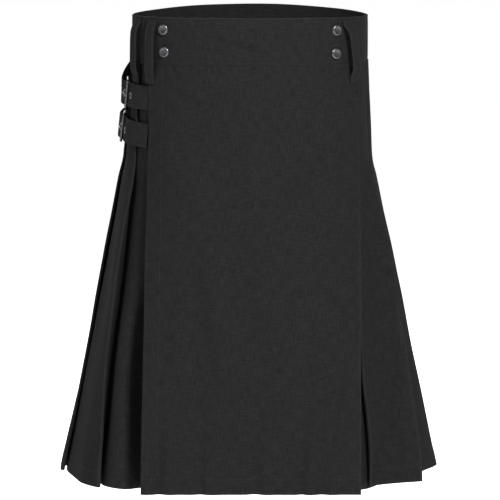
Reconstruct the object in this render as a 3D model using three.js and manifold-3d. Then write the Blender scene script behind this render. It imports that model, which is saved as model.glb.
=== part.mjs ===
// A pleated utility kilt, filled out as if worn. Millimetres, +Z up, the front faces -Y and +X is
// the viewer's right. The origin is the middle of the waist, halfway down the waistband.
import * as THREE from "three";
import { mergeVertices } from "three/addons/utils/BufferGeometryUtils.js";
import Module from "manifold-3d";

const wasm = await Module();
wasm.setup();
const part = new THREE.Group();

// Driving sizes.
const RIM_Z = 30; // the rim above the origin at the front
const BAND_BOTTOM_Z = -31.6;
const WAIST = { a: 152.5, b: 105.5, midX: 0, midY: 0 }; // half width and half depth of the waist
const BAND_THICK = 2.6;
const BAND_LAP = 3.2; // how far the outer turn's middle stands outside the inner turn's
const LAP_LEFT_X = -132; // the outer turn's free end
const LAP_RIGHT_X = 96; // the inner turn's free end
const CLOTH = 1.1;
const LAYER = 2.2; // from one pressed layer's middle to the next
const SEAM = 0.3; // clearance at seams
const HEM_FRONT_Y = -150; // the front apron hangs flat here at the hem
const LOOP = { width: 15, thick: 1.6 };
const STRAP = { width: 31, thick: 2 };
const SNAP_RADIUS = 7.5;
const EYELET = { hole: 3.4, barrel: 3.1, inner: 2.4, flange: 4.8 };
const FRAME = { length: 26, height: 36.2, wire: 1.6, corner: 4, level: 8.1 };

// Colours, roughness and metalness.
const LOOKS = {
  cloth: { color: 0x2c2c2e, roughness: 0.92, metalness: 0 },
  webbing: { color: 0x28282a, roughness: 0.9, metalness: 0 },
  metal: { color: 0x4c4e52, roughness: 0.38, metalness: 0.9 },
};

const rad = Math.PI / 180;
const lerp = (p, q, k) => p + (q - p) * k;

// Rows of numbers under column names, as objects.
function table(names, rows) {
  return rows.map((row) => Object.fromEntries(names.map((name, i) => [name, row[i]])));
}

// The body by depth under the rim. a, b, midX, midY: the reference oval. over: how far the front
// apron's middle stands off it. kick: how far the pleat ridges stand off it. open: from pressed
// flat to hanging open. hang: from following the hip to hanging flat. edgeL, edgeR: X of the
// apron's free edge and right fold. fold1, fold12: X of the first and last ridge. panel: X of the
// first panel's left fold.
const BODY = table(
  [
    "depth", "a", "b", "midY", "midX", "over", "kick",
    "open", "hang", "edgeL", "edgeR", "fold1", "fold12", "panel",
  ],
  [
    [61, 152.4, 105.5, 0, 0, 3.2, 2.2, 0, 0, -132, 136.2, 149, -144.5, 138.9],
    [84, 153.4, 108.5, 0.8, 0, 6.2, 2.2, 0, 0, -131, 136.8, 149.6, -145, 139.4],
    [100, 154.2, 110.5, 1.5, 0, 6.3, 2.2, 0, 0, -130.5, 137.5, 150.5, -146, 139.8],
    [140, 157, 115.5, 3, -1.5, 6.4, 2.2, 0, 0, -130.5, 139.3, 152.5, -147.5, 141.3],
    [185, 160.8, 121, 5, -2.8, 6.8, 2.2, 0, 0.03, -131.8, 140.2, 155, -149.5, 141.6],
    [215, 163.4, 124.5, 7, -2.7, 6.8, 7, 0.15, 0.075, -132.9, 140.8, 161.5, -152.8, 142.2],
    [260, 167.4, 130, 10.5, -2.6, 7, 12, 0.35, 0.145, -133.7, 141.6, 174, -161.5, 143],
    [320, 175.4, 138, 15, -2, 7, 17, 0.55, 0.26, -135.4, 142.4, 188.9, -171.3, 143.8],
    [390, 186.9, 147.5, 19.5, -1.3, 7, 19, 0.72, 0.415, -135.9, 142.7, 198, -180, 144.2],
    [460, 199.9, 157, 24.5, -1, 7, 19, 0.84, 0.59, -137.3, 142.6, 208.3, -188, 146.6],
    [530, 215.4, 167, 29.5, -0.5, 7, 18, 0.93, 0.78, -139.3, 142.6, 218, -192.2, 153.3],
    [580, 226.9, 174, 33, -1, 7, 17, 0.98, 0.92, -140.4, 142.6, 224.5, -195, 156.7],
    [610, 234.4, 178, 35, -0.7, 7, 16, 1, 1, -140.8, 142.6, 225.8, -196.5, 157.4],
  ],
);
const STITCHED = 185; // the pleats are sewn down to this depth
const HEM = 610;

// One row for each pleat, from the viewer's right round the back to the left. top, hem: the
// ridge's bearing in degrees, counted from +X towards +Y. mid, low: share of the common kick
// halfway down and at the hem. valley, face: where its face emerges and where it crosses its own
// inner fold, off the oval at the hem. underTop, underHem: depth of the fold along the cloth,
// pressed and at the hem.
const PLEATS = table(
  ["top", "hem", "mid", "low", "valley", "face", "underTop", "underHem"],
  [
    [null, null, 1.55, 1.55, 0, 3, 8, 26],
    [7.8, 5, 1.05, 1.12, -3, 1, 27, 30],
    [29.8, 28, 0.9, 0.92, -7, -1, 28, 31],
    [49.8, 49.5, 1.02, 1.12, -8, -1, 28, 30],
    [68.1, 69, 0.95, 0.84, -6, -1.5, 28, 29],
    [85.6, 88.5, 1.05, 1.05, -8, -2, 28, 31],
    [102.9, 107, 0.95, 1.14, -7, -1, 28, 30],
    [120.7, 126.5, 1, 0.88, -6, 0, 28, 29],
    [139.8, 146.5, 0.96, 1.1, -8, -1, 28, 31],
    [160.8, 167.5, 1, 1, -7, -1, 28, 30],
    [180.5, 186, 0.95, 1.07, -5, null, 26, 30],
    [null, null, 1.6, 1.9, null, 24, 20, 33],
  ],
);

// The body's row at any depth.
function bodyAt(depth) {
  const k = BODY.findIndex((row) => row.depth >= depth);
  if (k <= 0) return k < 0 ? BODY[BODY.length - 1] : BODY[0];
  const share = (depth - BODY[k - 1].depth) / (BODY[k].depth - BODY[k - 1].depth);
  const names = Object.keys(BODY[k]);
  return Object.fromEntries(names.map((n) => [n, lerp(BODY[k - 1][n], BODY[k][n], share)]));
}

// A point by its bearing, r outside the row's oval.
function at(row, bearing, r) {
  const t = bearing * rad;
  return [row.midX + (row.a + r) * Math.cos(t), row.midY + (row.b + r) * Math.sin(t)];
}

// A point on the front half by its X, r outside the row's oval.
function front(row, x, r) {
  const u = (x - row.midX) / (row.a + r);
  return [x, row.midY - (row.b + r) * Math.sqrt(1 - u * u)];
}

// A point of the front apron by its X, moved inwards.
function over(row, x, inward) {
  const y = front(row, x, row.over - Math.min(inward, 12))[1];
  return [x, lerp(y, HEM_FRONT_Y + inward, row.hang)];
}

// The turn in degrees that a length along the row's oval takes at a bearing.
function turn(row, bearing, length) {
  const t = bearing * rad;
  return length / Math.hypot(row.a * Math.sin(t), row.b * Math.cos(t)) / rad;
}

// The rim's and the band's level round the waist: it dips at the sides and rises at the back.
function rise(x, y) {
  const t = Math.atan2(y / WAIST.b, x / WAIST.a);
  return -2 * Math.cos(t) ** 2 + (y > 0 ? 5 * Math.sin(t) ** 2 : 0);
}

// The band's lower edge, which droops a little at the right front.
function bandBottom(x, y) {
  const t = Math.atan2(y / WAIST.b, x / WAIST.a) / rad;
  return BAND_BOTTOM_Z + rise(x, y) - 5 * Math.exp(-(((t + 43) / 15) ** 2));
}

// The height of a body point.
function level(row, x, y, drop) {
  if (row === BODY[0]) return bandBottom(x, y) - SEAM;
  return RIM_Z - row.depth + rise(x, y) * Math.max(0, 1 - (row.depth - 61) / 120) - drop;
}

// A mesh with a name from vertices and triangles, turned to face outwards.
function add(name, look, points, faces) {
  let volume = 0;
  for (const [i, j, k] of faces) {
    const [a, b, c] = [points[i], points[j], points[k]];
    volume += a[0] * (b[1] * c[2] - b[2] * c[1]);
    volume += a[1] * (b[2] * c[0] - b[0] * c[2]);
    volume += a[2] * (b[0] * c[1] - b[1] * c[0]);
  }
  const index = volume < 0 ? faces.map(([i, j, k]) => [i, k, j]) : faces;
  const geometry = new THREE.BufferGeometry();
  geometry.setAttribute("position", new THREE.Float32BufferAttribute(points.flat(), 3));
  geometry.setIndex(index.flat());
  geometry.computeVertexNormals();
  const mesh = new THREE.Mesh(geometry, new THREE.MeshStandardMaterial(LOOKS[look]));
  mesh.name = name;
  part.add(mesh);
  return mesh;
}

// The faces of a grid of closed sections, each section a loop of count points, with flat ends.
function skin(sections, count, closed) {
  const faces = [];
  const id = (k, i) => (k % sections) * count + (i % count);
  for (let k = 0; k < sections - (closed ? 0 : 1); k++)
    for (let i = 0; i < count; i++) {
      faces.push([id(k, i), id(k + 1, i), id(k + 1, i + 1)]);
      faces.push([id(k, i), id(k + 1, i + 1), id(k, i + 1)]);
    }
  if (!closed)
    for (let i = 1; i < count - 1; i++) {
      faces.push([id(0, 0), id(0, i), id(0, i + 1)]);
      faces.push([id(sections - 1, 0), id(sections - 1, i + 1), id(sections - 1, i)]);
    }
  return faces;
}

// A cloth wall through rows of middle points, each row a path seen from above, moved out by half
// the thickness on both sides with mitred corners.
function wall(name, rows, thick) {
  const outer = [];
  const inner = [];
  for (const path of rows) {
    path.forEach(([x, y, z], i) => {
      const sides = [];
      if (i > 0) sides.push([y - path[i - 1][1], path[i - 1][0] - x]);
      if (i < path.length - 1) sides.push([path[i + 1][1] - y, x - path[i + 1][0]]);
      const unit = sides.map(([u, v]) => [u / Math.hypot(u, v), v / Math.hypot(u, v)]);
      const sum = unit.reduce((p, q) => [p[0] + q[0], p[1] + q[1]], [0, 0]);
      const size = Math.hypot(...sum) || 1;
      const mitre = thick / 2 / Math.max(size / unit.length, 0.6);
      const [u, v] = [(sum[0] / size) * mitre, (sum[1] / size) * mitre];
      outer.push([x + u, y + v, z]);
      inner.push([x - u, y - v, z]);
    });
  }
  const n = rows[0].length;
  const last = rows.length - 1;
  const o = (k, i) => k * n + i;
  const c = (k, i) => outer.length + k * n + i;
  const faces = [];
  const quad = (p, q, r, s) => faces.push([p, q, r], [p, r, s]);
  for (let k = 0; k < last; k++) {
    for (let i = 0; i < n - 1; i++) {
      quad(o(k, i), o(k + 1, i), o(k + 1, i + 1), o(k, i + 1));
      quad(c(k, i), c(k, i + 1), c(k + 1, i + 1), c(k + 1, i));
    }
    quad(o(k, 0), c(k, 0), c(k + 1, 0), o(k + 1, 0));
    quad(o(k, n - 1), o(k + 1, n - 1), c(k + 1, n - 1), c(k, n - 1));
  }
  for (let i = 0; i < n - 1; i++) {
    quad(o(0, i), o(0, i + 1), c(0, i + 1), c(0, i));
    quad(o(last, i), c(last, i), c(last, i + 1), o(last, i + 1));
  }
  return add(name, "cloth", [...outer, ...inner], faces);
}

// A cloth wall of the body, from a function that gives a row's path as [x, y, drop].
function bodyWall(name, pathOf) {
  const rows = BODY.map((row) =>
    pathOf(row).map(([x, y, drop]) => [x, y, level(row, x, y, drop || 0)]),
  );
  return wall(name, rows, CLOTH);
}

const vec = (p) => new THREE.Vector3(...p);

// A flat strip along stations of middle, width direction and normal.
function strip(name, look, stations, width, thick) {
  const points = [];
  for (const { c, w, n } of stations)
    for (const [u, v] of [[-1, -1], [1, -1], [1, 1], [-1, 1]]) {
      const p = vec(c).addScaledVector(w, (u * width) / 2).addScaledVector(n, (v * thick) / 2);
      points.push(p.toArray());
    }
  return add(name, look, points, skin(stations.length, 4, false));
}

// Stations along a path of middle points, with normals nearest to the outward direction given.
function stationsOf(points, outward) {
  return points.map((p, i) => {
    const from = vec(points[Math.max(i - 1, 0)]);
    const to = vec(points[Math.min(i + 1, points.length - 1)]);
    const along = to.sub(from).normalize();
    const w = new THREE.Vector3().crossVectors(along, vec(outward(p, i))).normalize();
    return { c: p, w, n: new THREE.Vector3().crossVectors(w, along), along };
  });
}

// A round rod along a path in the plane of its stations.
function rod(name, look, points, side, radius, sides, closed) {
  const count = points.length;
  const out = [];
  points.forEach((p, i) => {
    const prev = points[closed ? (i + count - 1) % count : Math.max(i - 1, 0)];
    const next = points[closed ? (i + 1) % count : Math.min(i + 1, count - 1)];
    const along = vec(next).sub(vec(prev)).normalize();
    const up = new THREE.Vector3().crossVectors(side, along).normalize();
    for (let k = 0; k < sides; k++) {
      const a = ((k + 0.5) * 2 * Math.PI) / sides;
      const q = vec(p).addScaledVector(side, radius * Math.cos(a));
      out.push(q.addScaledVector(up, radius * Math.sin(a)).toArray());
    }
  });
  return add(name, look, out, skin(count, sides, closed));
}

// A turned piece: a profile of [radius, height] about an axis, closed to itself or to the axis.
function turned(name, look, profile, centre, axis, segments) {
  const side = new THREE.Vector3(0, 0, 1).addScaledVector(axis, -axis.z).normalize();
  const other = new THREE.Vector3().crossVectors(axis, side);
  const points = [];
  const start = [];
  for (const [radius, height] of profile) {
    start.push(points.length);
    for (let k = 0; k < (radius ? segments : 1); k++) {
      const a = (k * 2 * Math.PI) / segments;
      const p = vec(centre).addScaledVector(axis, height);
      p.addScaledVector(side, radius * Math.cos(a)).addScaledVector(other, radius * Math.sin(a));
      points.push(p.toArray());
    }
  }
  const id = (i, k) => start[i] + (profile[i][0] ? k % segments : 0);
  const faces = [];
  const ring = profile[0][0] > 0;
  for (let i = 0; i < profile.length - (ring ? 0 : 1); i++) {
    const j = (i + 1) % profile.length;
    for (let k = 0; k < segments; k++) {
      if (profile[i][0]) faces.push([id(i, k), id(i, k + 1), id(j, k)]);
      if (profile[j][0]) faces.push([id(i, k + 1), id(j, k + 1), id(j, k)]);
    }
  }
  return add(name, look, points, faces);
}

// The ridge of a pleat in a row: its bearing and how far it stands off the oval.
function ridge(row, i) {
  const { top, hem, mid, low } = PLEATS[i];
  const share = Math.min(1, Math.max(0, (row.depth - 320) / (HEM - 320)));
  const r = LAYER + (row.kick - LAYER) * lerp(mid, low, share);
  if (i === 0) return { t: -Math.acos((row.fold1 - row.midX) / (row.a + r)) / rad, r };
  if (i === PLEATS.length - 1)
    return { t: 180 + Math.acos((row.midX - row.fold12) / (row.a + r)) / rad, r };
  const spread = Math.max(0, (row.depth - STITCHED) / (HEM - STITCHED));
  return { t: lerp(top, hem, spread), r };
}

// The bearing of a pleat's inner fold, hidden under its own face.
function innerFold(row, i) {
  const { t } = ridge(row, i);
  const { underTop, underHem } = PLEATS[i];
  return t - turn(row, t, lerp(underTop, underHem, row.open));
}

// Where the next face lies at a pleat's inner fold: pressed, then by that pleat's valley, or close
// under the fold over it where the table names no valley.
function valleyOf(row, i) {
  if (PLEATS[i]?.valley === null) {
    return ridge(row, i - 1).r - 2 * LAYER - 1.2 * row.open;
  }
  return lerp(-LAYER, i < PLEATS.length ? PLEATS[i].valley : 1, row.open);
}

// The visible part of a pleat: out from under the ridge before it, up to its own ridge and the
// first point of the fold back under it.
function pleatFace(row, i) {
  const before = ridge(row, i - 1);
  const here = ridge(row, i);
  const inside = innerFold(row, i);
  const { face } = PLEATS[i];
  const crossing = face === null ? here.r + 0.6 * row.open : lerp(LAYER, face, row.open);
  return [
    at(row, before.t + turn(row, before.t, 3), valleyOf(row, i)),
    at(row, inside - turn(row, inside, 4), crossing),
    at(row, lerp(inside, here.t, 0.48), lerp(crossing, here.r, 0.57)),
    ...ridgeFold(row, i),
  ];
}

// A pleat's ridge and the first point of the cloth turned back under it.
function ridgeFold(row, i) {
  const { t, r } = ridge(row, i);
  return [at(row, t, r), at(row, t - turn(row, t, row.open), r - LAYER - row.open)];
}

// The hidden fold of a pleat: the end of the cloth turned back and the start of the next face.
function hiddenFold(row, i) {
  const inside = innerFold(row, i);
  const next = valleyOf(row, i + 1);
  return [at(row, inside, next + LAYER + row.open), at(row, inside, next - row.open)];
}

// A point on the cloth turned back under a ridge, where two lengths of cloth are joined.
function join(row, i, share) {
  const from = ridgeFold(row, i)[1];
  const to = hiddenFold(row, i)[0];
  return [lerp(from[0], to[0], share), lerp(from[1], to[1], share)];
}
const JOIN = 0.55;
const JOIN_GAP = 0.03;

// Front apron: from its free edge on the left to the right fold and a little way back under it.
const APRON_COLUMNS = 14;
function apronOver(row) {
  const path = [];
  for (let i = 0; i <= APRON_COLUMNS; i++) {
    const even = i / APRON_COLUMNS;
    const eased = (1 - Math.cos(Math.PI * even)) / 2;
    path.push(over(row, lerp(row.edgeL, row.edgeR, lerp(even, eased, 0.6)), 0));
  }
  path.push(over(row, row.edgeR - 0.2 - row.hang, LAYER + 0.3));
  path.push(over(row, lerp(row.edgeR - 12, 118, row.hang), lerp(LAYER + 0.2, 20.5, row.hang)));
  return path;
}
bodyWall("apron_over", apronOver);

// A point behind the front apron, by its distance back from the right fold.
function apronBack(row, x, inward) {
  return over(row, lerp(row.edgeR - x, 117.4 - (x - 12.4) * 0.95, row.hang), inward);
}
// From the cloth hidden behind the apron's right fold to the first panel's own ridge.
function rightStart(row) {
  const k = row.open;
  const fold = -Math.acos((row.panel - row.midX) / (row.a + 3)) / rad;
  const past = (length, r) => at(row, fold + turn(row, fold, length), r);
  const deep = lerp(8.5, 20, k);
  return [
    apronBack(row, 12.4, lerp(LAYER + 0.2, 20.8, row.hang)),
    apronBack(row, 25, lerp(LAYER + 0.2, 25.5, row.hang)),
    apronBack(row, 25, lerp(2 * LAYER + 0.4, 29, row.hang)),
    [...past(1, lerp(-LAYER, -9.2, k)), 5 * k],
    [...past(deep, lerp(-LAYER, -9.6, k)), 2 * k],
    past(deep, lerp(0, -6.8, k)),
    past(lerp(4, 7, k), lerp(0, -6.6, k)),
    past(-1.2 * k, lerp(0, 1.6, k)),
    past(0, lerp(LAYER, 4, k)),
    past(lerp(6, 9, k), lerp(LAYER, -3.5, k)),
    at(row, innerFold(row, 0) - turn(row, -20, lerp(1, 3, k)), lerp(LAYER, PLEATS[0].face, k)),
    ...ridgeFold(row, 0),
    ...hiddenFold(row, 0),
  ];
}
// A run of pleats, ending halfway along the cloth turned back under the last ridge.
function pleatRun(row, first, last) {
  const path = [];
  for (let i = first; i <= last; i++) {
    path.push(...pleatFace(row, i));
    if (i < last) path.push(...hiddenFold(row, i));
  }
  path.push(join(row, last, JOIN - JOIN_GAP));
  return path;
}
bodyWall("pleats_right", (row) => [...rightStart(row), ...pleatRun(row, 1, 3)]);
bodyWall("pleats_back", (row) => [
  join(row, 3, JOIN),
  ...hiddenFold(row, 3),
  ...pleatRun(row, 4, 7),
]);
bodyWall("pleats_left", (row) => [
  join(row, 7, JOIN),
  ...hiddenFold(row, 7),
  ...pleatRun(row, 8, 11),
]);

// Under apron: from the last pleat's hidden fold into the inverted fold beside the front apron's
// free edge, and across the front, inside the front apron.
const UNDER_COLUMNS = 13;
function apronUnder(row) {
  const last = ridge(row, 11).t;
  const k = row.open;
  const grown = Math.min(1, Math.max(0, (k - 0.5) / 0.4));
  const lipX = -131 - 31 * grown * grown * (3 - 2 * grown);
  const lip = 180 + Math.acos((row.midX - lipX) / (row.a + 12 * k)) / rad;
  const path = [
    join(row, 11, JOIN),
    ...hiddenFold(row, 11),
    at(row, last + turn(row, last, lerp(1, 0.5, k)), lerp(-LAYER, 19, k)),
    [...at(row, lip - 3 * (1 - k), 12 * k), 2 * k],
    [...at(row, lip + 0.3 * k, -28 * k), 4 * k],
  ];
  const from = lip + lerp(2.7, 6.5, k);
  const to = 360 - Math.acos((LAP_RIGHT_X - row.midX) / row.a) / rad;
  for (let i = 0; i <= UNDER_COLUMNS; i++) {
    const share = i / UNDER_COLUMNS;
    const r = lerp(0, i ? -2.5 : 0, k);
    path.push([...at(row, lerp(from, to, share), r), i ? 0 : 2 * k]);
  }
  return path;
}
bodyWall("apron_under", apronUnder);

// Waistband: one strip, from its free end on the left across the front, where it is the outer
// turn, round the back and across the front again inside.
function bandOffset(bearing) {
  const share = Math.min(1, Math.max(0, (bearing + 28) / 20));
  return BAND_LAP * (1 - share * share * (3 - 2 * share));
}
function bandPath() {
  const from = 180 + Math.acos(-LAP_LEFT_X / (WAIST.a + BAND_LAP)) / rad - 360;
  const to = 360 - Math.acos(LAP_RIGHT_X / WAIST.a) / rad;
  const steps = 66;
  const path = [];
  for (let i = 0; i <= steps; i++) {
    const bearing = lerp(from, to, i / steps);
    path.push(at(WAIST, bearing, bandOffset(bearing)));
  }
  return path;
}
const bandRows = [
  bandPath().map(([x, y]) => [x, y, RIM_Z + rise(x, y)]),
  bandPath().map(([x, y]) => [x, y, bandBottom(x, y)]),
];
wall("waistband", bandRows, BAND_THICK);

// A point on the body by bearing, depth and height over the oval, and the outward direction.
function bodyPoint(bearing, depth, r) {
  const row = depth < 61 ? { ...BODY[0], ...WAIST } : bodyAt(depth);
  return [...at(row, bearing, r), RIM_Z - depth];
}
function outward(bearing, depth) {
  const here = vec(bodyPoint(bearing, depth, 0));
  const round = vec(bodyPoint(bearing + 2, depth, 0)).sub(here);
  const down = vec(bodyPoint(bearing, depth + 8, 0)).sub(here);
  return new THREE.Vector3().crossVectors(down, round).normalize().toArray();
}

// Belt loops: sewn at both ends, standing off the band between. top, low: the bearings of the two
// ends. under, foot: the surface under them, off the oval. gap: the belt's clearance.
const LOOPS = table(
  ["name", "top", "low", "under", "foot", "gap"],
  [
    ["belt_loop_front_left", 218.3, 218.3, 4.5, 6.75, 7.3],
    ["belt_loop_side_left", 201, 200, 1.3, 2.75, 7],
    ["belt_loop_front_right", -38.6, -33.4, 4.5, 6.9, 10],
    ["belt_loop_back_right", 36, 36, 1.3, 2.9, 7.5],
    ["belt_loop_back", 90, 90, 1.3, 3.1, 6.4],
    ["belt_loop_back_left", 144, 144, 1.3, 2.9, 7.5],
  ],
);
const LOOP_SHAPE = table(
  ["depth", "share", "foot"],
  [
    [4, 0, 0],
    [12, 0.04, 0],
    [19, 0.6, 0],
    [27, 0.93, 0],
    [42, 1, 0],
    [58, 0.9, 0.3],
    [69, 0.5, 0.8],
    [77, 0.06, 1],
    [87, 0, 1],
  ],
);
for (const loop of LOOPS) {
  const seat = LOOP.thick / 2 + SEAM;
  const points = LOOP_SHAPE.map(({ depth, share, foot }) => {
    const base = lerp(loop.under, loop.foot, foot) + seat;
    return bodyPoint(lerp(loop.top, loop.low, depth / 87), depth, base + share * loop.gap);
  });
  const way = outward((loop.top + loop.low) / 2, 40);
  strip(loop.name, "cloth", stationsOf(points, () => way), LOOP.width, LOOP.thick);
}

// Snap caps on the outer turn.
const SNAPS = table(
  ["name", "bearing", "depth"],
  [
    ["snap_left_upper", 225, 16.6],
    ["snap_left_lower", 225.6, 45.3],
    ["snap_right_upper", -45, 17.3],
    ["snap_right_lower", -45.4, 47.3],
  ],
);
const SNAP_PROFILE = [[0, 0], [6.6, 0], [SNAP_RADIUS, 0.6], [7.2, 1.4], [5.4, 2.2], [2.6, 2.7], [0, 2.8]];
for (const { name, bearing, depth } of SNAPS) {
  const centre = bodyPoint(bearing, depth, BAND_LAP + BAND_THICK / 2 + SEAM);
  turned(name, "metal", SNAP_PROFILE, centre, vec(outward(bearing, depth)).normalize(), 18);
}

// Side straps. s: length along the hip from the buckle's middle, towards the back. r: the strap's
// middle off the oval. The two drop columns give the depth of its middle line.
const STRAP_PATH = table(
  ["s", "r", "upper", "lower"],
  [
    [-82, 3.9, 106.5, 155],
    [-66, 3.9, 106.5, 154.5],
    [-48, 4.7, 106.2, 153.5],
    [-32, 4.9, 106, 152.5],
    [-18, 4.7, 105.8, 151.3],
    [-11, 4.8, 105.5, 150.6],
    [-6, 6.2, 105.2, 150],
    [0, 8.4, 104.8, 149.4],
    [6, 11, 104.3, 148.8],
    [12, 13.6, 103, 147.9],
    [19, 14.8, 99.6, 146.4],
    [29, 15.3, 93.6, 144],
    [42, 15.8, 85.4, 140.9],
    [54, 16, 78, 138.4],
    [66, 16, 72, 136.5],
  ],
);
const STRAPS = table(
  ["name", "column", "centre"],
  [
    ["upper", "upper", 182],
    ["lower", "lower", 178.5],
  ],
);
const EYELETS = [-25, 0, 23.5, 47]; // along the hip, at the strap's middle

// A point near the left hip by length along it from the buckle's middle.
function hipPoint(centre, s, depth, r) {
  const row = bodyAt(depth);
  let bearing = centre;
  const steps = 40;
  for (let i = 0; i < steps; i++) bearing -= turn(row, bearing, s / steps);
  return bodyPoint(bearing, depth, r);
}

// The row of a table at a value of its s column.
function along(rows, s) {
  const k = Math.max(1, rows.findIndex((row) => row.s >= s));
  const share = (s - rows[k - 1].s) / (rows[k].s - rows[k - 1].s);
  return Object.fromEntries(
    Object.keys(rows[k]).map((n) => [n, lerp(rows[k - 1][n], rows[k][n], share)]),
  );
}

// A mesh as a manifold solid.
function toManifold(mesh) {
  const geometry = mesh.geometry.clone();
  geometry.deleteAttribute("normal");
  const merged = mergeVertices(geometry, 1e-4);
  return new wasm.Manifold(
    new wasm.Mesh({
      numProp: 3,
      vertProperties: merged.attributes.position.array,
      triVerts: new Uint32Array(merged.index.array),
    }),
  );
}

// A mesh cut by a manifold solid.
function cut(mesh, tool) {
  const made = toManifold(mesh).subtract(tool).getMesh();
  const geometry = new THREE.BufferGeometry();
  const n = made.numProp;
  const points = [];
  for (let i = 0; i < made.numVert; i++) points.push(...made.vertProperties.slice(i * n, i * n + 3));
  geometry.setAttribute("position", new THREE.Float32BufferAttribute(points, 3));
  geometry.setIndex([...made.triVerts]);
  geometry.computeVertexNormals();
  mesh.geometry = geometry;
}

// A manifold cylinder about a line through a point.
function drill(centre, axis, radius, length, sides) {
  const turnTo = new THREE.Quaternion().setFromUnitVectors(new THREE.Vector3(0, 0, 1), axis);
  const matrix = new THREE.Matrix4().makeRotationFromQuaternion(turnTo).setPosition(vec(centre));
  return wasm.Manifold.cylinder(length, radius, radius, sides, true).transform(matrix.elements);
}

for (const { name, column, centre } of STRAPS) {
  const place = (s, r) => {
    const row = along(STRAP_PATH, s);
    return hipPoint(centre, s, row[column], r === undefined ? row.r : r);
  };
  const hipOut = (p) => {
    const row = bodyAt(RIM_Z - p[2]);
    const bearing = Math.atan2((p[1] - row.midY) / row.b, (p[0] - row.midX) / row.a) / rad;
    return outward(bearing, RIM_Z - p[2]);
  };
  const stations = stationsOf(STRAP_PATH.map((row) => place(row.s)), hipOut);
  const strap = strip("strap_" + name, "webbing", stations, STRAP.width, STRAP.thick);

  // Eyelets, each through its own hole.
  EYELETS.forEach((s, i) => {
    const [from, to] = [vec(place(s - 4)), vec(place(s + 4))];
    const way = to.clone().sub(from).normalize();
    const middle = from.clone().add(to).multiplyScalar(0.5).toArray();
    const w = new THREE.Vector3().crossVectors(way, vec(hipOut(middle))).normalize();
    const n = new THREE.Vector3().crossVectors(w, way);
    cut(strap, drill(middle, n, EYELET.hole, 12, 16));
    const { barrel, inner, flange } = EYELET;
    const half = STRAP.thick / 2 + SEAM;
    const profile = [
      [inner, -half - 0.2],
      [3.6, -half - 0.75],
      [flange, -half],
      [barrel, -half],
      [barrel, half],
      [flange, half],
      [3.6, half + 0.75],
      [inner, half + 0.2],
    ];
    turned("eyelet_" + name + "_" + (i + 1), "metal", profile, middle, n, 16);
  });

  // The buckle's own axes: back along the hip, up, and outwards.
  const half = FRAME.length / 2;
  const heel = vec(place(half, FRAME.level));
  const bar = vec(place(-half, FRAME.level));
  const back = heel.clone().sub(bar).normalize();
  const mid = heel.clone().add(bar).multiplyScalar(0.5);
  const up = new THREE.Vector3().crossVectors(vec(hipOut(mid.toArray())), back).normalize();
  if (up.z < 0) up.negate();
  const out = new THREE.Vector3().crossVectors(back, up);
  if (out.dot(vec(hipOut(mid.toArray()))) < 0) out.negate();
  const local = (s, u, v) => {
    const p = mid.clone().addScaledVector(back, s).addScaledVector(up, u);
    return p.addScaledVector(out, v).toArray();
  };

  const corners = [];
  const { height, corner, wire } = FRAME;
  for (let q = 0; q < 4; q++)
    for (let i = 0; i <= 3; i++) {
      const a = (q * 90 + i * 30) * rad;
      const [cx, cy] = [[1, 1], [-1, 1], [-1, -1], [1, -1]][q];
      const s = cx * (half - corner) + corner * Math.cos(a);
      const u = cy * (height / 2 - corner) + corner * Math.sin(a);
      corners.push(local(s, u, 0));
    }
  rod("buckle_frame_" + name, "metal", corners, out, wire, 8, true);

  // The tab: a strip round the heel bar, both ends sewn to the pleats behind it, with a slot for
  // the prong.
  const wrap = wire + SEAM + 0.7;
  const tab = [[half + 25, -3.6], [half + 14, -3.4], [half + 5, -wrap - 0.3], [half, -wrap]];
  for (let i = 1; i < 6; i++) {
    const a = i * 30 * rad;
    tab.push([half - wrap * Math.sin(a), -wrap * Math.cos(a)]);
  }
  tab.push([half, wrap], [half + 6, wrap - 0.5], [half + 15, -0.4], [half + 25, -1.7]);
  const tabPoints = tab.map(([s, v]) => local(s, 0, v));
  const tabStations = tabPoints.map((c, i) => {
    const from = vec(tabPoints[Math.max(i - 1, 0)]);
    const way = vec(tabPoints[Math.min(i + 1, tab.length - 1)]).sub(from).normalize();
    return { c, w: up, n: new THREE.Vector3().crossVectors(way, up) };
  });
  const tabMesh = strip("buckle_tab_" + name, "webbing", tabStations, 25, 1.4);
  const slot = wasm.Manifold.cube([14, 5, 12], true);
  const basis = new THREE.Matrix4().makeBasis(back, up, out.clone());
  if (basis.determinant() < 0) basis.makeBasis(back, up.clone().negate(), out);
  basis.setPosition(vec(local(half, 0, 0)));
  cut(tabMesh, slot.transform(basis.elements));

  // The prong: hooked round the heel bar, up through its eyelet and down on the front bar.
  const hook = wire + SEAM + 1;
  const prong = [];
  for (let i = 0; i <= 6; i++) {
    const a = (100 - i * 32) * rad;
    prong.push(local(half + hook * Math.cos(a), 0, hook * Math.sin(a)));
  }
  prong.push(local(8, 0, -2.6), local(3.4, 0, -1.9), local(1.6, 0, -0.6));
  prong.push(local(-1.6, 0, 3.1), local(-3.2, 0, 4.2), local(-5.4, 0, 4.3));
  prong.push(local(-half, 0, hook + 0.05), local(-half - 2.2, 0, hook - 0.3));
  rod("buckle_prong_" + name, "metal", prong, up, 1, 8, false);
}

export default part;
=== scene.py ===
"""A pleated utility kilt, filled out as if worn: its cloth, sewing, snaps, straps and buckles.

Lengths in the tables are millimetres, +Z is up, and the front faces -Y. The origin is the middle of
the waist, halfway down the waistband.
"""

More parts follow.
